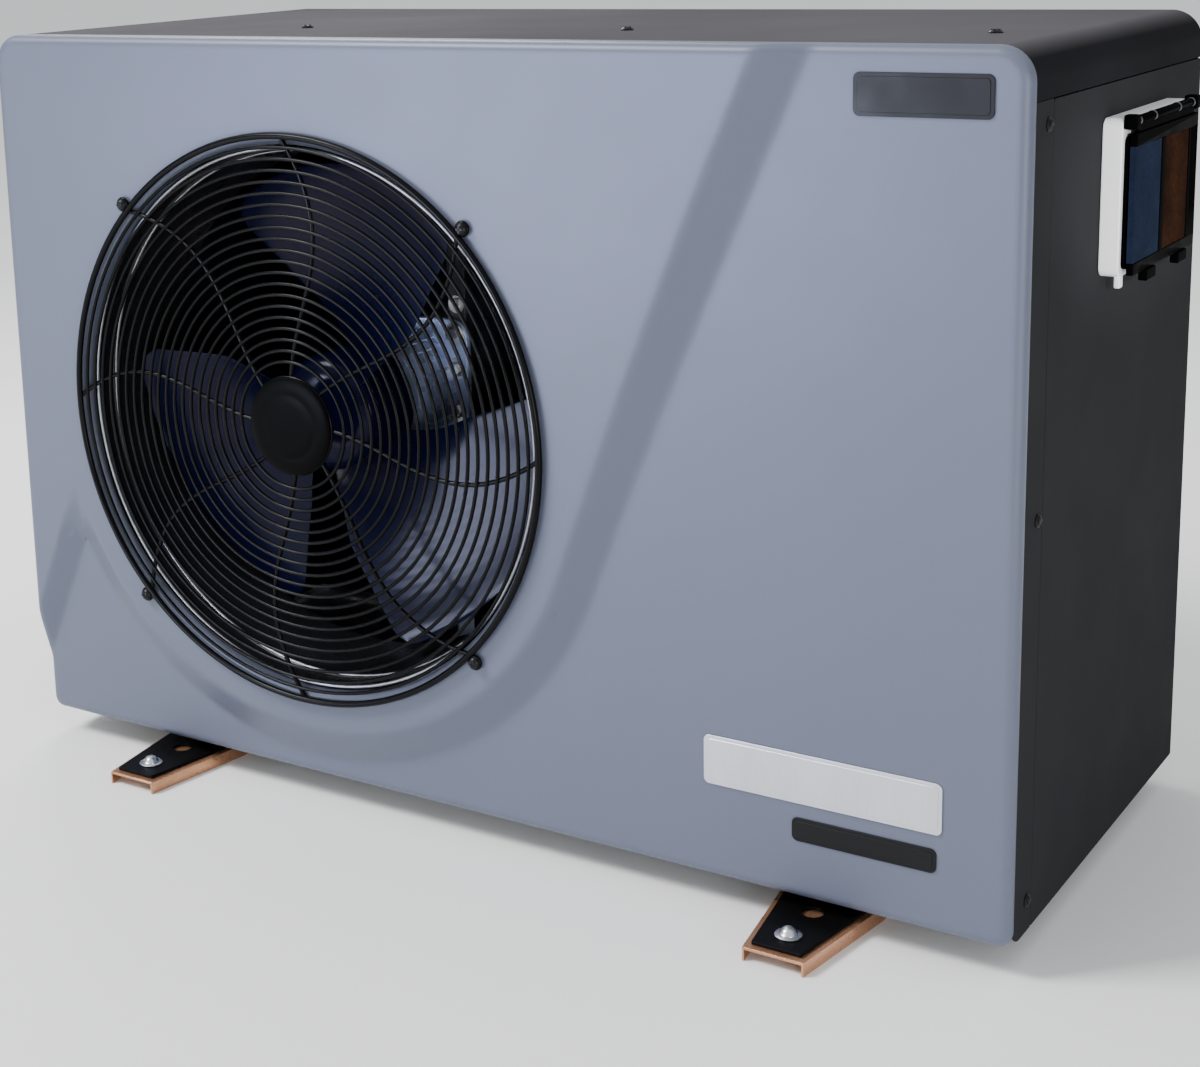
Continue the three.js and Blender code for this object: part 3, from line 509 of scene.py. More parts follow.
def panel_outline(inset):
    """The panel's outline, drawn in by inset."""
    return rounded_rect(inset, inset, WIDTH - inset, HEIGHT - inset, CORNER - inset, 10,
                        LOW_CORNER - inset)


def slope_grid(raised, low, pitch=7, margin=10):
    """Points all over the slope between the two levels."""
    columns = np.arange(margin, WIDTH - margin, pitch)
    rows = np.arange(margin, HEIGHT - margin, pitch)
    grid = np.array([(x, z) for x in columns for z in rows])
    keep = inside(grid, closed_level(low)) & ~inside(grid, closed_level(raised))
    return grid[keep]


def circle(radius, count=160):
    """Points of a circle round the fan's centre."""
    turns = [2 * math.pi * i / count for i in range(count)]
    return [(FAN_X + radius * math.cos(t), FAN_Z + radius * math.sin(t)) for t in turns]


def panel_face():
    """The panel's face as flat (x, z) triangles that follow all its bends."""
    coords, edges = [], []

    def draw(line, closed):
        start = len(coords)
        coords.extend(Vector(p) for p in line)
        edges.extend((start + i, start + i + 1) for i in range(len(line) - 1))
        if closed:
            edges.append((start + len(line) - 1, start))

    for inset in (0, 0.4, 1.2, 2.4, 4, 6, 8, 11):
        draw(panel_outline(inset), True)
    raised, low = relief_line(RAISED_EDGE), relief_line(LOW_EDGE)
    for share in (-0.12, 0, 0.07, 0.14, 0.22, 0.36, 0.5, 0.64, 0.78, 0.86, 0.93, 1, 1.12):
        draw(raised + (low - raised) * share, False)
    for radius in (LIP_START, LIP_START + 5):
        draw(circle(radius), True)
    coords.extend(Vector(p) for p in slope_grid(raised, low))
    convex_hull, nearness = 0, 1e-4
    found, _, triangles, *_ = delaunay_2d_cdt(coords, edges, [], convex_hull, nearness)
    points = np.array([tuple(p) for p in found])
    middles = np.array([points[list(t)].mean(axis=0) for t in triangles])
    keep = inside(middles, np.array(panel_outline(0)))
    keep &= np.linalg.norm(middles - (FAN_X, FAN_Z), axis=1) > LIP_START - 0.1
    return points, [tuple(t) for t, kept in zip(triangles, keep) if kept]


def rolled(skin, edges, steps):
    """Draws a border out through steps, each a function from a point to its next place."""
    for step in steps:
        made = bmesh.ops.extrude_edge_only(skin, edges=edges)["geom"]
        for vertex in (g for g in made if isinstance(g, bmesh.types.BMVert)):
            vertex.co = step(vertex.co)
        edges = [g for g in made if isinstance(g, bmesh.types.BMEdge)]


def lip_step(radius, depth):
    """A step for rolled() that puts a point on a circle of the air outlet."""
    centre = ORIGIN + Vector(FAN_CENTRE) * MM

    def step(point):
        spoke = Vector((point.x - centre.x, 0, point.z - centre.z)).normalized()
        return centre + spoke * (radius * MM) + Vector((0, depth * MM, 0))
    return step


def front_panel():
    """The panel as a sheet: its face on two levels, the rim folded back and the rolled outlet."""
    points, triangles = panel_face()
    depths = panel_depths(points)
    mesh = bpy.data.meshes.new("front_panel_finished")
    skin = bmesh.new()
    verts = [skin.verts.new(ORIGIN + Vector((x, y, z)) * MM) for (x, z), y in zip(points, depths)]
    for a, b, c in triangles:
        skin.faces.new((verts[a], verts[b], verts[c]))
    bmesh.ops.delete(skin, geom=[v for v in skin.verts if not v.link_faces], context="VERTS")
    centre = ORIGIN + Vector(FAN_CENTRE) * MM
    border = [e for e in skin.edges if e.is_boundary]
    hole = [e for e in border if (e.verts[0].co - centre).length < (LIP_START + 2) * MM]
    rim = [e for e in border if e not in set(hole)]
    back = ORIGIN.y + PANEL_BACK * MM
    rolled(skin, rim, [lambda p: Vector((p.x, back, p.z))])
    rolled(skin, hole, [lip_step(radius, depth) for radius, depth in LIP_PROFILE])
    bmesh.ops.recalc_face_normals(skin, faces=skin.faces)
    if sum(f.normal.y * f.calc_area() for f in skin.faces) > 0:
        bmesh.ops.reverse_faces(skin, faces=skin.faces)
    skin.to_mesh(mesh)
    skin.free()
    piece = place("front_panel_finished", mesh, "silver_paint", "front_panel", "cabinet", 0, 50, None)
    sheet = piece.modifiers.new("sheet", "SOLIDIFY")
    sheet.thickness = PANEL_SHEET * MM
    sheet.offset = -1


def nameplates():
    """Blank plates on the panel's lower level."""
    frame_width = 3
    for name, look, left, bottom, right, top in (
        ("nameplate_lower", "bare_aluminium", 744, 82, 946, 124),
        ("nameplate_strip", "screw_black", 822, 50, 942, 70),
        ("nameplate_upper", "screw_black", 868, 628, 974, 660),
    ):
        plate = prism(rounded_rect(left, bottom, right, top, 5), "y", RELIEF - 1.2, RELIEF - 0.1)
        middle = rounded_rect(left + frame_width, bottom + frame_width, right - frame_width,
                              top - frame_width, 3)
        add(name, merged(plate, prism(middle, "y", RELIEF - 1.7, RELIEF - 1)), look, bevel=0.3)


# ---------------- cabinet

def top_cover():
    """A sheet folded over the cabinet, with a strip that hangs down at the back."""
    sheet, front = 2, Extent("top_cover").front
    outer_arc = upper_corners(rounded_rect(0, 0, WIDTH, HEIGHT, CORNER, 20))
    outer = [(WIDTH, HOOD_BOTTOM), *outer_arc, (0, HOOD_BOTTOM)]
    inner_arc = upper_corners(rounded_rect(sheet, 0, WIDTH - sheet, HEIGHT - sheet,
                                           CORNER - sheet, 20))
    inner = [(sheet, HOOD_BOTTOM), *reversed(inner_arc), (WIDTH - sheet, HOOD_BOTTOM)]
    shell = prism([*outer, *inner], "y", front, DEPTH)
    strip_bottom = HEIGHT - BACK_STRIP
    strip_arc = [(x, z) for x, z in inner_arc if z > strip_bottom]
    strip_outline = [(WIDTH - sheet, strip_bottom), *strip_arc, (sheet, strip_bottom)]
    strip = prism(strip_outline, "y", DEPTH - sheet, DEPTH)
    # The hood's look paints shade on its rounded sides and light on its top.
    add("top_cover_finished", merged(shell, strip), "hood_paint", "top_cover", bevel=0.5, smooth=40)


def panels():
    """The rest of the cabinet's sheet metal keeps its CAD shape, with rounded edges."""
    for node in ("right_front_post", "left_front_post", "right_side_panel", "left_side_grille",
                 "rear_grille", "rear_panel"):
        # The dark colour of the sides, posts, grilles and back is painted shade.
        softened(node, "charcoal_paint", 0.5)
    for node in ("base_pan", "partition_plate", "electrical_box", "electrical_cover"):
        softened(node, "galvanised", 0.4)
    softened("heat_sink", "bare_aluminium", 0.3)


def domed_screw(axis, head, height, side):
    """A round screw head with a cross recess, standing on the surface at 0 towards `side`."""
    profile = [(0, height), (head * 0.45, height * 0.93), (head * 0.8, height * 0.66),
               (head, height * 0.25), (head, 0), (0, 0)]
    body = lathe([(r, side * h) for r, h in profile], axis, segments=32)
    slots = []
    for long, short in ((head * 0.62, head * 0.13), (head * 0.13, head * 0.62)):
        outline = [(-long, -short), (long, -short), (long, short), (-long, short)]
        slots.append(prism(outline, axis, side * height * 0.62, side * height * 1.02))
    return merged(body, *slots)


def cabinet_screws():
    """Three screws along the top cover's front part and three in the right front strip."""
    for i in (1, 2, 3):
        node = f"top_screw_{i}"
        at = Extent(node)
        head = domed_screw("z", (at.right - at.left) / 2, at.top - HEIGHT - 0.1, 1)
        add(f"{node}_finished", moved(head, at.x, at.y, HEIGHT), "screw_black", node)
        node = f"side_screw_{i}"
        at = Extent(node)
        head = domed_screw("x", (at.back - at.front) / 2, at.right - WIDTH - 0.1, 1)
        add(f"{node}_finished", moved(head, WIDTH, at.y, at.z), "screw_black", node)


# ---------------- fan guard

SPOKE_COUNT = 8
RING_PITCH = 10
RING_WIRE, SPOKE_WIRE = 1.7, 2.1  # radii of the wires
EYELET_RADIUS = 5.2  # also that of the screw heads in the eyelets


def guard():
    """The wire guard: its rings, the bowed spokes behind them and an eyelet for each screw."""
    ring_depth, spoke_depth = -4.0, -2.2
    centre = (FAN_X, ring_depth, FAN_Z)
    wires = [ring(GUARD_RADIUS, 3, (FAN_X, ring_depth - 0.4, FAN_Z), 160, 12)]
    wires += [ring(radius, RING_WIRE, centre, 128, 8)
              for radius in range(58, GUARD_RADIUS - 9, RING_PITCH)]
    wires.append(ring(BADGE_RADIUS - 1, RING_WIRE, centre, 96, 8))
    wires += [guard_spoke(360 / SPOKE_COUNT * i, spoke_depth) for i in range(SPOKE_COUNT)]
    for i in (1, 2, 3, 4):
        at = Extent(f"guard_screw_{i}")
        wires.append(ring(EYELET_RADIUS, 1.8, (at.x, -3.0, at.z), 32, 8))
    add("fan_guard_finished", merged(*wires), "guard_wire", "fan_guard", smooth=60)


def guard_spoke(degrees, depth):
    """A wire that leaves the outer ring at its own angle and bows clockwise on its way in."""
    bow, steps = math.radians(11), 20
    path = []
    for i in range(steps + 1):
        share = i / steps
        radius = BADGE_RADIUS - 3 + (GUARD_RADIUS - BADGE_RADIUS + 3) * share
        turn = math.radians(degrees) - bow * math.sin(math.pi * share)
        path.append((FAN_X + radius * math.cos(turn), depth, FAN_Z + radius * math.sin(turn)))
    return tube(path, SPOKE_WIRE, 8)


def guard_badge():
    """A black cap with a rolled rim and a shallow ring groove."""
    front, rim = BADGE.front, BADGE_RADIUS
    profile = [(0, front), (20, front + 0.1), (27, front + 0.5), (29, front + 1.1), (31, front + 0.7),
               (37, front + 1.2), (41, front + 2.0), (rim - 1.5, front + 2.7), (rim - 0.3, front + 3.4),
               (rim, front + 4.2), (rim - 0.4, BADGE.back), (0, BADGE.back)]
    add("guard_badge_finished", lathe(profile, "y", FAN_CENTRE, 96), "black_plastic", "guard_badge")


def guard_screws():
    """The black screws in the guard's eyelets."""
    head = domed_screw("y", EYELET_RADIUS, 3.8, -1)
    for i in (1, 2, 3, 4):
        node = f"guard_screw_{i}"
        at = Extent(node)
        add(f"{node}_finished", moved(head, at.x, -4.6, at.z), "screw_black", node)


# ---------------- fan and motor

BLADE_ANGLES = (-31, 89, 209)
BLADE_FRONT, BLADE_BACK = 46, 96
BLADE_CAMBER = 6
BLADE_SWEEP = 22  # degrees that the root lies behind the tip
ROOT_SPAN, ADDED_SPAN = 60, 20  # degrees round the axis at the root, and added further out
TIP_START = 0.88  # share of the reach at which the tip's rounding begins


def blade_point(rest_degrees, reach, across):
    """A point of a blade's front skin: reach 0..1 from root to tip, across 0..1 from edge to edge."""
    radius = HUB_RADIUS - 5 + (ROTOR_RADIUS - HUB_RADIUS + 5) * reach
    middle = rest_degrees - BLADE_SWEEP * (1 - reach) ** 1.6
    span = ROOT_SPAN + ADDED_SPAN * min(1, 2.4 * reach)
    tip = min(1, max(0, (reach - TIP_START) / (1 - TIP_START)))
    span *= 1 - 0.16 * (1 - math.sqrt(1 - tip ** 2))
    turn = math.radians(middle + (across - 0.5) * span)
    camber = BLADE_CAMBER * math.sin(math.pi * across)
    depth = BLADE_FRONT + (BLADE_BACK - BLADE_FRONT) * across + camber
    return Vector((FAN_X + radius * math.cos(turn), depth, FAN_Z + radius * math.sin(turn)))


def blade(rest_degrees, along_steps=22, across_steps=28):
    """A moulded blade: two skins 3 mm apart that close to a thin rounded edge."""
    points, faces = [], []
    row = across_steps + 1
    for side in (0, 1):
        for i in range(along_steps + 1):
            for j in range(row):
                reach = 1 - (1 - i / along_steps) ** 1.5
                across = 0.5 - 0.5 * math.cos(math.pi * j / across_steps)
                edge = min(1, 4 * min(across, 1 - across), 5 * (1 - reach))
                half = 0.35 + 1.15 * math.sqrt(max(edge, 0))
                p = blade_point(rest_degrees, reach, across)
                points.append((p.x, p.y + 1.5 + (half if side else -half), p.z))
    sheet = row * (along_steps + 1)
    for i in range(along_steps):
        for j in range(across_steps):
            a = i * row + j
            faces.append((a, a + 1, a + row + 1, a + row))
            faces.append((sheet + a, sheet + a + row, sheet + a + row + 1, sheet + a + 1))
    border = [*range(row), *(i * row + across_steps for i in range(1, along_steps + 1)),
              *(along_steps * row + j for j in range(across_steps - 1, -1, -1)),
              *(i * row for i in range(along_steps - 1, 0, -1))]
    for a, b in zip(border, border[1:] + border[:1]):
        faces.append((a, b, sheet + b, sheet + a))
    return points, faces


def rotor():
    """The fan: a ribbed hub with three blades, and its shaft."""
    rib_count = 12
    hub = lathe([(0, 38), (24, 38.4), (34, 39.2), (44, 41.5), (50, 45), (53.2, 50), (54, 56), (54, 108),
                 (50, 108), (50, 54), (44, 48), (20, 46), (14, 104), (0, 104)],
                "y", FAN_CENTRE, 96)
    ribs = []
    for i in range(rib_count):
        turn = 2 * math.pi * i / rib_count
        path = [(FAN_X + r * math.cos(turn), 46.2 - 0.1 * r, FAN_Z + r * math.sin(turn))
                for r in (16, 30, 42)]
        ribs.append(tube(path, 1.4, 6))
    blades = [blade(angle) for angle in BLADE_ANGLES]
    add("fan_rotor_finished", merged(hub, *ribs, *blades), "fan_plastic", "fan_rotor", body="fan",
        smooth=45)
    shaft = Extent("motor_shaft")
    rod = lathe([(0, shaft.front), (5, shaft.front), (6, shaft.front + 1), (6, shaft.back),
                 (0, shaft.back)], "y", FAN_CENTRE, 40)
    add("motor_shaft_finished", rod, "steel", "motor_shaft", body="fan")


def shroud():
    """The ring the fan turns in, with a rolled mouth."""
    face = [(246.8, 8.2), (245.4, 8.6), (244.6, 10.2), (244.2, 20), (243.6, 26.5), (242.2, 27.4),
            (241.4, 29.4), (242, 31.6), (241.6, 36), (239.6, 46), (237.6, 58), (237, 66), (237, 112)]
    back = [(239, 112), (239, 66), (239.6, 59), (241.6, 48), (243.8, 37), (245.4, 29.2), (276, 29.2),
            (276, 27), (248, 27), (247.6, 24), (247.4, 10)]
    add("fan_shroud_finished", lathe([*face, *back], "y", FAN_CENTRE, 160), "charcoal_gloss",
        "fan_shroud", smooth=50, slot="charcoal_paint")
    # Bright rings on the dark shroud's mouth and bead: their colour paints the highlights along them.
    highlight_rings = [ring(radius, 1.5, (FAN_X, y, FAN_Z), 160) for radius, y in ((246, 8.8), (242.4, 29.4))]
    add("fan_shroud_painted_highlights", merged(*highlight_rings), "galvanised", smooth=60)


def motor():
    """The motor: a turned body with cooling fins, four bolts in its front cap and a flange."""
    fin_count, bolt_circle = 30, 42
    body = lathe([(0, 190), (48, 190), (54, 187), (56, 182), (56, 131), (54, 126), (50, 121), (30, 119),
                  (22, 117.5), (20, 112.5), (7, 112.5), (7, 150), (0, 150)], "y", FAN_CENTRE, 80)
    fins = []
    for i in range(fin_count):
        turn = 2 * math.pi * i / fin_count
        foot = Vector(FAN_CENTRE) + Vector((math.cos(turn), 0, math.sin(turn))) * 55.6
        fins.append(tube([foot + Vector((0, y, 0)) for y in (134, 180)], 1.4, 6))
    bolt = lathe([(0, 116.5), (3.5, 117), (4.5, 119), (4.5, 124), (0, 124)], "y", segments=24)
    bolts = []
    for i in range(4):
        turn = math.radians(45 + 90 * i)
        x, z = FAN_X + bolt_circle * math.cos(turn), FAN_Z + bolt_circle * math.sin(turn)
        bolts.append(moved(bolt, x, 0, z))
    add("motor_body_finished", merged(body, *fins, *bolts), "motor_paint", "motor_body", smooth=40)
    motor_flange()


def motor_flange():
    """The motor's square mounting flange, with crowned corners and a bolt at each hole."""
    half, front, back = 68, 178, 185
    outline = rounded_rect(FAN_X - half, FAN_Z - half, FAN_X + half, FAN_Z + half, 22)
    add("motor_flange", prism(outline, "y", front, back), "motor_paint", bevel=2.4)
    bolts = [moved(hex_bolt("y", 7.5, -6), FAN_X + x, front, FAN_Z + z)
             for x in (-54, 54) for z in (-54, -20, 20, 54)]
    add("motor_flange_bolts", merged(*bolts), "steel", bevel=0.5)


def hex_bolt(axis, radius, height):
    """A hexagon head on a washer, standing on 0."""
    washer_radius, washer_top = radius * 1.45, height * 0.2
    washer = lathe([(0, 0), (washer_radius, 0), (washer_radius, washer_top), (0, washer_top)],
                   axis, segments=32)
    return merged(washer, prism(hexagon(radius), axis, washer_top, height))


def motor_bracket():
    """Two uprights with cross straps, and the bolts that hold the motor to them."""
    at = Extent("motor_bracket")
    rails = [block(FAN_X + x, FAN_X + x + 20, 191, 205, at.bottom, at.top) for x in (-58, 38)]
    straps = [block(FAN_X - 50, FAN_X + 50, 190.4, 194, FAN_Z + z, FAN_Z + z + 24) for z in (-50, 26)]
    # The uprights and straps are steel darkened as painted shade.
    add("motor_bracket_finished", merged(*rails, *straps), "darkened_steel", "motor_bracket", bevel=0.8,
        slot="steel")
    bolts = []
    for x in (-48, 48):
        for z in (-80, -38, 38, 80):
            bolts.append(moved(hex_bolt("y", 6, -5), FAN_X + x, 191, FAN_Z + z))
    add("bracket_bolts", merged(*bolts), "steel", bevel=0.3, slot="steel")


def coil():
    """The L-shaped evaporator: thin upright fins with the tubes that run through them."""
    at = Extent("evaporator_coil")
    depth, pitch, thin = 34, 2.2, 0.25
    tube_radius, bend_radius, bend_steps, rows = 4.2, 12, 6, 24
    bottom, top = at.bottom, at.top
    fins = []
    for i in range(int((at.right - at.left) / pitch)):
        x = at.left + i * pitch
        fins.append(block(x, x + thin, at.back - depth, at.back, bottom, top))
    for i in range(int((at.back - depth - at.front) / pitch)):
        y = at.front + i * pitch
        fins.append(block(at.left, at.left + depth, y, y + thin, bottom, top))
    add("evaporator_coil_fins", merged(*fins), "coil_fins", "evaporator_coil", smooth=20)
    tubes = []
    for i in range(rows):
        z = bottom + (top - bottom) * (i + 0.5) / rows
        for inset in (9, 25):
            near, far = at.left + inset, at.back - inset
            turns = [math.radians(90 * k / bend_steps) for k in range(bend_steps + 1)]
            bend = [(near + bend_radius * (1 - math.cos(t)), far - bend_radius * (1 - math.sin(t)), z)
                    for t in turns]
            tubes.append(tube([(near, at.front, z), *bend, (at.right - 2, far, z)], tube_radius))
    add("evaporator_coil_tubes", merged(*tubes), "copper_tube")


# ---------------- refrigerant and water parts

def vessel(node, look, axis, profile):
    """A turned piece on its CAD node's centre line."""
    at = Extent(node)
    centre = {"y": (at.x, 0, at.z), "z": (at.x, at.y, 0)}[axis]
    add(f"{node}_finished", lathe(profile, axis, centre, 72), look, node, smooth=40)


def circuit():
    """The refrigerant's vessels, valves and pipes."""
    vessel("compressor", "compressor_paint", "z", [
        (0, 30), (40, 30), (52, 34), (60, 44), (64, 60), (64, 146), (65.5, 148), (65.5, 154), (64, 156),
        (64, 240), (62, 256), (54, 272), (38, 283), (14, 288), (0, 288)])
    vessel("accumulator", "compressor_paint", "z", [
        (0, 84), (14, 85), (26, 91), (33, 102), (34, 110), (34, 216), (33, 226), (26, 237), (14, 243),
        (0, 244)])
    vessel("heat_exchanger", "exchanger_shell", "z", [
        (0, 24), (58, 24), (66, 27), (72, 34), (72, 60), (70, 63), (68, 66), (68, 432), (70, 435),
        (72, 438), (72, 462), (66, 469), (58, 472), (0, 472)])
    for node in ("four_way_valve", "expansion_valve", "discharge_pipe", "suction_pipe", "liquid_pipe"):
        softened(node, "copper_tube", 0.4)


def water_connections():
    """The two water pipes at the back, each with its union nut."""
    for use in ("inlet", "outlet"):
        pipe = Extent(f"water_{use}_pipe")
        vessel(f"water_{use}_pipe", "pipe_plastic", "y", [
            (19.5, pipe.front), (25, pipe.front), (25, pipe.back - 1.4), (23.6, pipe.back),
            (20.6, pipe.back), (19.5, pipe.back - 1.2)])
        nut = Extent(f"{use}_union_nut")
        core = lathe([(26.2, nut.front), (33, nut.front), (34.5, nut.front + 2), (34.5, nut.back - 2),
                      (33, nut.back), (26.2, nut.back)], "y", (nut.x, 0, nut.z), 72)
        add(f"{use}_union_nut_finished", merged(core, ribbed_sleeve(nut)), "black_plastic",
            f"{use}_union_nut", smooth=40)


def ribbed_sleeve(nut, count=144, ribs=18):
    """The grip round a union nut: a ribbed outline, drawn in a little at both ends."""
    stations = [(0.9, nut.front + 1.5), (0.97, nut.front + 2.5), (1, nut.front + 5),
                (1, nut.back - 5), (0.97, nut.back - 2.5), (0.9, nut.back - 1.5)]
    points, faces = [], []
    for scale, y in stations:
        for i in range(count):
            turn = 2 * math.pi * i / count
            radius = scale * (37.2 + 1.5 * max(-0.4, math.cos(ribs * turn)))
            points.append((nut.x + radius * math.cos(turn), y, nut.z + radius * math.sin(turn)))
    last = len(stations) - 1
    for k in range(last):
        for i in range(count):
            a, b = k * count + i, k * count + (i + 1) % count
            faces.append((a, b, b + count, a + count))
    faces.append(tuple(range(count)))
    faces.append(tuple(range(last * count, (last + 1) * count)))
    return points, faces


def fittings():
    """The cable gland on the back and the drain nozzle below."""
    gland = Extent("cable_gland")
    nut = prism(hexagon(15.5, 0.5, (gland.x, gland.z)), "y", DEPTH + 0.6, DEPTH + 8)
    dome = lathe([(5, DEPTH - 11), (10, DEPTH - 11), (10, DEPTH + 8), (12.4, DEPTH + 9),
                  (12.4, DEPTH + 15), (11, DEPTH + 20), (8, DEPTH + 23.4), (5, gland.back)],
                 "y", (gland.x, 0, gland.z))
    add("cable_gland_finished", merged(nut, dome), "black_plastic", "cable_gland", smooth=40)
    drain = Extent("drain_nozzle")
    nozzle = lathe([(6, drain.top), (9, drain.top), (9, -0.4), (14, -0.4), (14, -3.4), (9, -3.4),
                    (9.6, -8), (8.6, -9), (9.4, -13), (8.2, drain.bottom), (6, drain.bottom)],
                   "z", (drain.x, drain.y, 0))
    add("drain_nozzle_finished", nozzle, "black_plastic", "drain_nozzle", smooth=40)


# ---------------- controller

BASE = Extent("controller_base")
BASE_REACH = 16  # how far the white base stands out from the cabinet
HINGE_X, HINGE_Z = WIDTH + 22.5, BASE.top - 5


def controller():
    """The controller on the right side: its base, the display, three keys and the cover."""
    controller_base()
    softened("controller_fascia", "smoked_plastic", 0.4)
    face = Extent("controller_fascia").right
    display = prism(rounded_rect(BASE.front + 16, BASE.bottom + 24, BASE.front + 92, BASE.top - 26, 3),
                    "x", face + 0.05, face + 0.6)
    add("controller_display", display, "display_glass", bevel=0.2)
    for i in (1, 2, 3):
        controller_button(f"controller_button_{i}", i)
    cover()


def controller_base():
    """The white box with round corners, and the black ears that hold the cover's studs."""
    bottom, face, ear_width = BASE.bottom + 9, WIDTH + BASE_REACH, 11
    case = prism(rounded_rect(BASE.front, bottom, BASE.back, BASE.top - 3, 8), "x", WIDTH + 0.4, face)
    tab = block(face - 5, face, BASE.front + 6, BASE.front + 14, BASE.bottom, bottom + 2)
    add("controller_base_finished", merged(case, tab), "white_plastic", "controller_base", bevel=1.2)
    ears = [block(face + 0.1, BASE.right, y, y + ear_width, HINGE_Z - 6, HINGE_Z + 5)
            for y in (BASE.front, BASE.back - ear_width)]
    add("controller_ears", merged(*ears), "smoked_plastic", bevel=1.2)


def controller_button(node, number):
    """A round key with a raised rim. Its sign is an arrow, or a ring on the middle key."""
    at = Extent(node)
    radius, face = (at.back - at.front) / 2, at.right
    cap = lathe([(0, face - 0.5), (radius - 2, face - 0.5), (radius - 1.5, face), (radius - 0.7, face),
                 (radius, face - 0.8), (radius, at.left), (0, at.left)], "x", (0, at.y, at.z))
    if number == 2:
        sign = ring(2, 0.35, (face - 0.45, at.y, at.z), 24, 6, "x")
    else:
        point = 2.2 if number == 3 else -2.2
        arrow = [(at.y - 2.4, at.z - point / 2), (at.y + 2.4, at.z - point / 2), (at.y, at.z + point)]
        sign = prism(arrow, "x", face - 0.6, face - 0.1)
    add(f"{node}_finished", merged(cap, sign), "button_plastic", node, body=f"button_{number}",
        smooth=40)


def cover():
    """The lift-up cover: a glossy black frame with two windows, its barrel, studs and latches."""
    at = Extent("controller_flap")
    front, back = BASE.front + 4, BASE.back - 4
    inner, outer = WIDTH + 20.6, WIDTH + 26
    bottom, top = BASE.bottom + 11, HINGE_Z - 9
    divider, sill, head = front + 68, bottom + 9, top - 10
    bars = [
        block(inner, outer, front, back, bottom, sill),
        block(inner, outer, front, back, head, top),
        block(inner, outer, divider, divider + 10, sill, head),
        block(inner, outer, back - 24, back, sill, head),
    ]
    neck = block(WIDTH + 21, WIDTH + 24.5, front + 8, back - 8, top, HINGE_Z)
    latches = [block(inner, at.right, y, y + 24, at.bottom, bottom) for y in (212, 300)]
    add("controller_flap_frame", merged(*bars, neck, *latches), "smoked_plastic",
        "controller_flap", body="controller_cover", bevel=0.7)
    windows = (("cover_window_display", "display_glass", front, divider),
               ("cover_window_keys", "amber_window", divider + 10, back - 24))
    for name, look, start, end in windows:
        pane = prism(rounded_rect(start + 0.1, sill + 0.1, end - 0.1, head - 0.1, 1), "x",
                     inner, outer - 0.6)
        add(name, pane, look, body="controller_cover", bevel=0.3,
            slot="display_glass" if look == "display_glass" else "smoked_plastic")
    centre = (HINGE_X, 0, HINGE_Z)
    start, end = front + 8, back - 8
    barrel = lathe([(0, start), (3.2, start), (3.5, start + 1), (3.5, end - 1), (3.2, end), (0, end)],
                   "y", centre, 40)
    stud = lathe([(0, start - 9), (1.7, start - 9), (1.7, end + 9), (0, end + 9)], "y", centre, 24)
    add("cover_barrel", merged(barrel, stud), "smoked_plastic", body="controller_cover", smooth=40)
    collars = []
    for y in (start, start + 40, end - 46, end - 6):
        collars.append(lathe([(3.6, y), (3.9, y + 0.4), (3.9, y + 2.6), (3.6, y + 3)], "y", centre, 40))
    add("cover_collars", merged(*collars), "darkened_steel", body="controller_cover", slot="steel")


# ---------------- feet

def feet():
    """Two rails with rubber pads, each held by a bolt at both ends; the rails' copper colour paints the
    orange reflection of a wooden floor in their glossy black steel.
    """
    for side in ("left", "right"):
        softened(f"foot_rail_{side}", "foot_copper", 0.7)
        softened(f"foot_pad_{side}", "rubber", 0.8)
        for end in ("front", "rear"):
            foot_bolt(f"foot_bolt_{side}_{end}")


def foot_bolt(node):
    """A domed nut on a washer, over the threaded stud that holds the foot."""
    at = Extent(node)
    head = lathe([(0, -3.1), (2.2, -3.3), (4.2, -4.2), (5.8, -5.8), (6.6, -7.4), (7.4, -8.2), (7.4, -8.9),
                  (10.4, -9.1), (11, -9.5), (11, -10.1), (4, -10.2), (4, at.bottom + 1), (3, at.bottom),
                  (0, at.bottom)], "z", (at.x, at.y, 0))
    add(f"{node}_finished", head, "steel", node, smooth=40)


# ---------------- stage

def area_light(name, location, target, size, power, color=(1, 1, 1), gloss_only=False):
    """A rectangular lamp. With gloss_only it makes highlights and lights nothing else."""
    data = bpy.data.lights.new(name, "AREA")
    data.shape = "RECTANGLE"
    data.size, data.size_y = size
    data.energy = power
    data.color = color
    lamp = hang(name, data, location, target)
    lamp.visible_diffuse = not gloss_only


def spot_light(name, location, target, degrees, power):
    """A narrow beam."""
    data = bpy.data.lights.new(name, "SPOT")
    data.spot_size = math.radians(degrees)
    data.spot_blend = 0.5
    data.shadow_soft_size = 0.03
    data.energy = power
    hang(name, data, location, target)


def hang(name, data, location, target):
    """Places a lamp and points it at its target."""
    lamp = bpy.data.objects.new(name, data)
    lamp.location = location
    lamp.rotation_mode = "QUATERNION"
    lamp.visible_camera = False
    lamp.rotation_quaternion = (Vector(target) - Vector(location)).to_track_quat("-Z", "Y")
    bpy.context.scene.collection.objects.link(lamp)
    return lamp


def sky(horizon, zenith):
    """A soft overhead studio light: the world is dim at the horizon and bright above."""
    world = bpy.data.worlds.new("studio")
    world.use_nodes = True
    tree = world.node_tree
    backdrop = tree.nodes["Background"]
    backdrop.inputs["Color"].default_value = (0.96, 0.98, 1.0, 1)
    parts = tree.nodes.new("ShaderNodeSeparateXYZ")
    tree.links.new(tree.nodes.new("ShaderNodeTexCoord").outputs["Generated"], parts.inputs[0])
    strength = ranged(tree, parts.outputs["Z"], horizon, zenith, 0.05, 0.75)
    tree.links.new(strength, backdrop.inputs["Strength"])
    bpy.context.scene.world = world


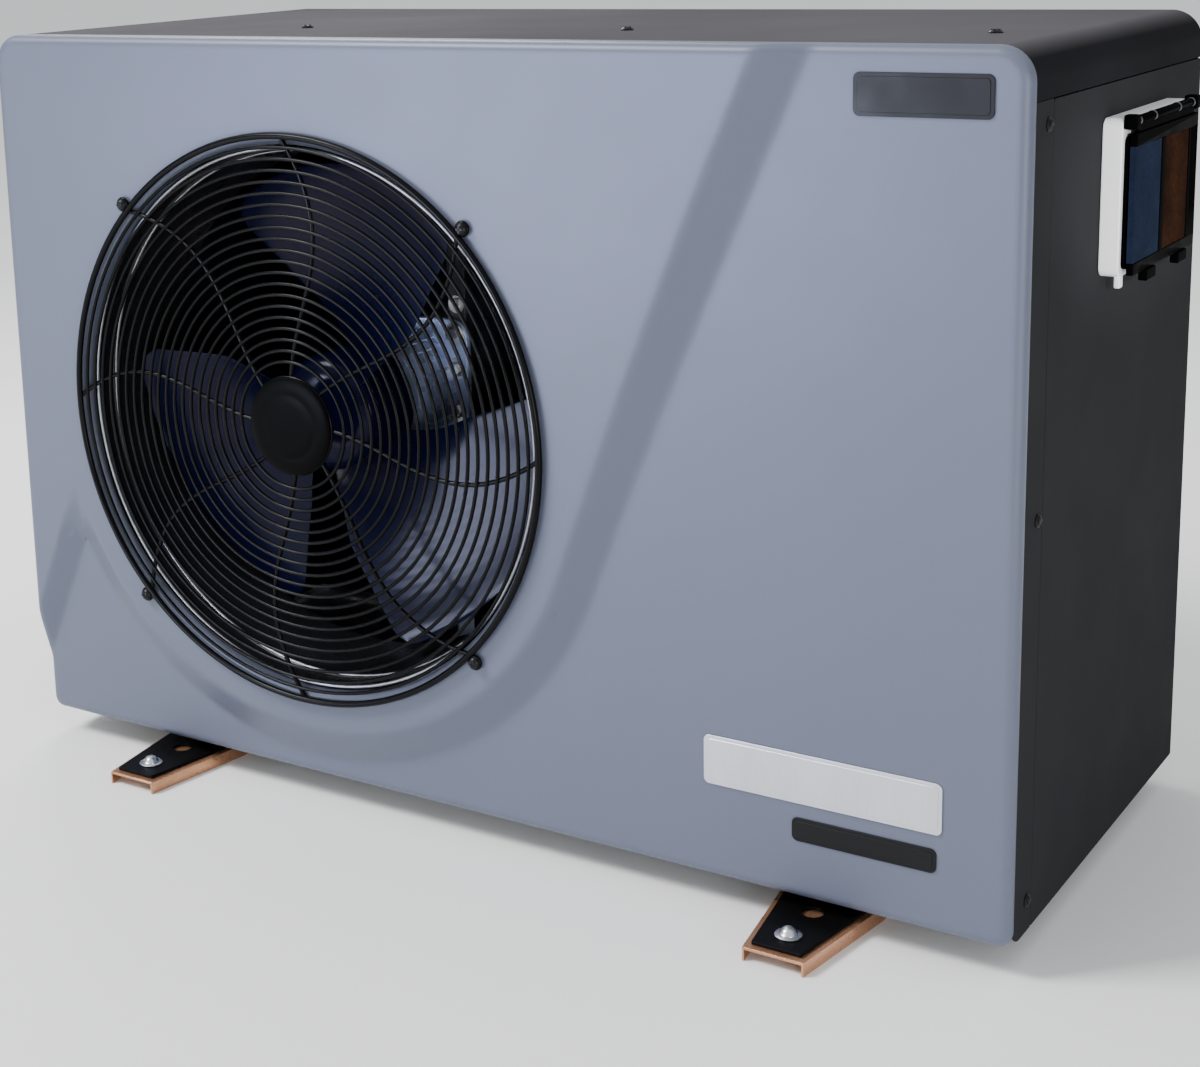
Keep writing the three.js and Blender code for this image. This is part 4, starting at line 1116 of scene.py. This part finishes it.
def floor():
    """A wide plain floor at the unit's feet."""
    mesh = bpy.data.meshes.new("studio_floor")
    skin = bmesh.new()
    bmesh.ops.create_grid(skin, x_segments=8, y_segments=8, size=60)
    skin.to_mesh(mesh)
    skin.free()
    ground = bpy.data.objects.new("studio_floor", mesh)
    mesh.materials.append(LOOKS["floor"])
    bpy.context.scene.collection.objects.link(ground)


def studio():
    """The floor, the sky and the lamps, in metres in the row frame."""
    floor()
    sky(horizon=0.23, zenith=1.05)
    area_light("key", (-2.3, -2.2, 3.6), (0, 0, 0.35), (1.4, 1.4), 250)
    area_light("fill", (2.7, -2.1, 0.5), (0.1, -0.2, 0.4), (1.6, 0.8), 38)
    area_light("low_left", (-1.05, -2.2, 0.46), (-0.05, -0.15, 0.38), (1.2, 0.5), 50,
               (0.7, 0.76, 1.0), gloss_only=True)
    area_light("back", (-1.4, 1.2, 1.9), (-0.2, 0, 0.6), (1.0, 0.8), 24)
    spot_light("controller_beam", (1.9, -2.2, 1.0), (0.535, -0.06, 0.59), 4.8, 265)
    spot_light("motor_beam", (0.93, -1.65, 0.84), (-0.13, -0.04, 0.41), 2.6, 130)


def camera():
    """Looks at the unit from its front right, a little above its top."""
    azimuth, elevation, roll = math.radians(34.5), math.radians(12.0), math.radians(-1.8)
    data = bpy.data.cameras.new("camera")
    data.lens = 62.2
    data.shift_x, data.shift_y = 0.125, -0.153
    data.clip_end = 200
    eye = bpy.data.objects.new("camera", data)
    back = Vector((math.sin(azimuth) * math.cos(elevation), -math.cos(azimuth) * math.cos(elevation),
                   math.sin(elevation)))
    eye.location = (0.963, -1.624, 0.81)
    eye.rotation_mode = "QUATERNION"
    eye.rotation_quaternion = ((-back).to_track_quat("-Z", "Y").to_matrix()
                               @ Matrix.Rotation(roll, 3, "Z")).to_quaternion()
    bpy.context.scene.collection.objects.link(eye)
    bpy.context.scene.camera = eye


camera()
studio()
front_panel()
nameplates()
top_cover()
panels()
cabinet_screws()
guard()
guard_badge()
guard_screws()
rotor()
shroud()
motor()
motor_bracket()
coil()
circuit()
water_connections()
fittings()
controller()
feet()
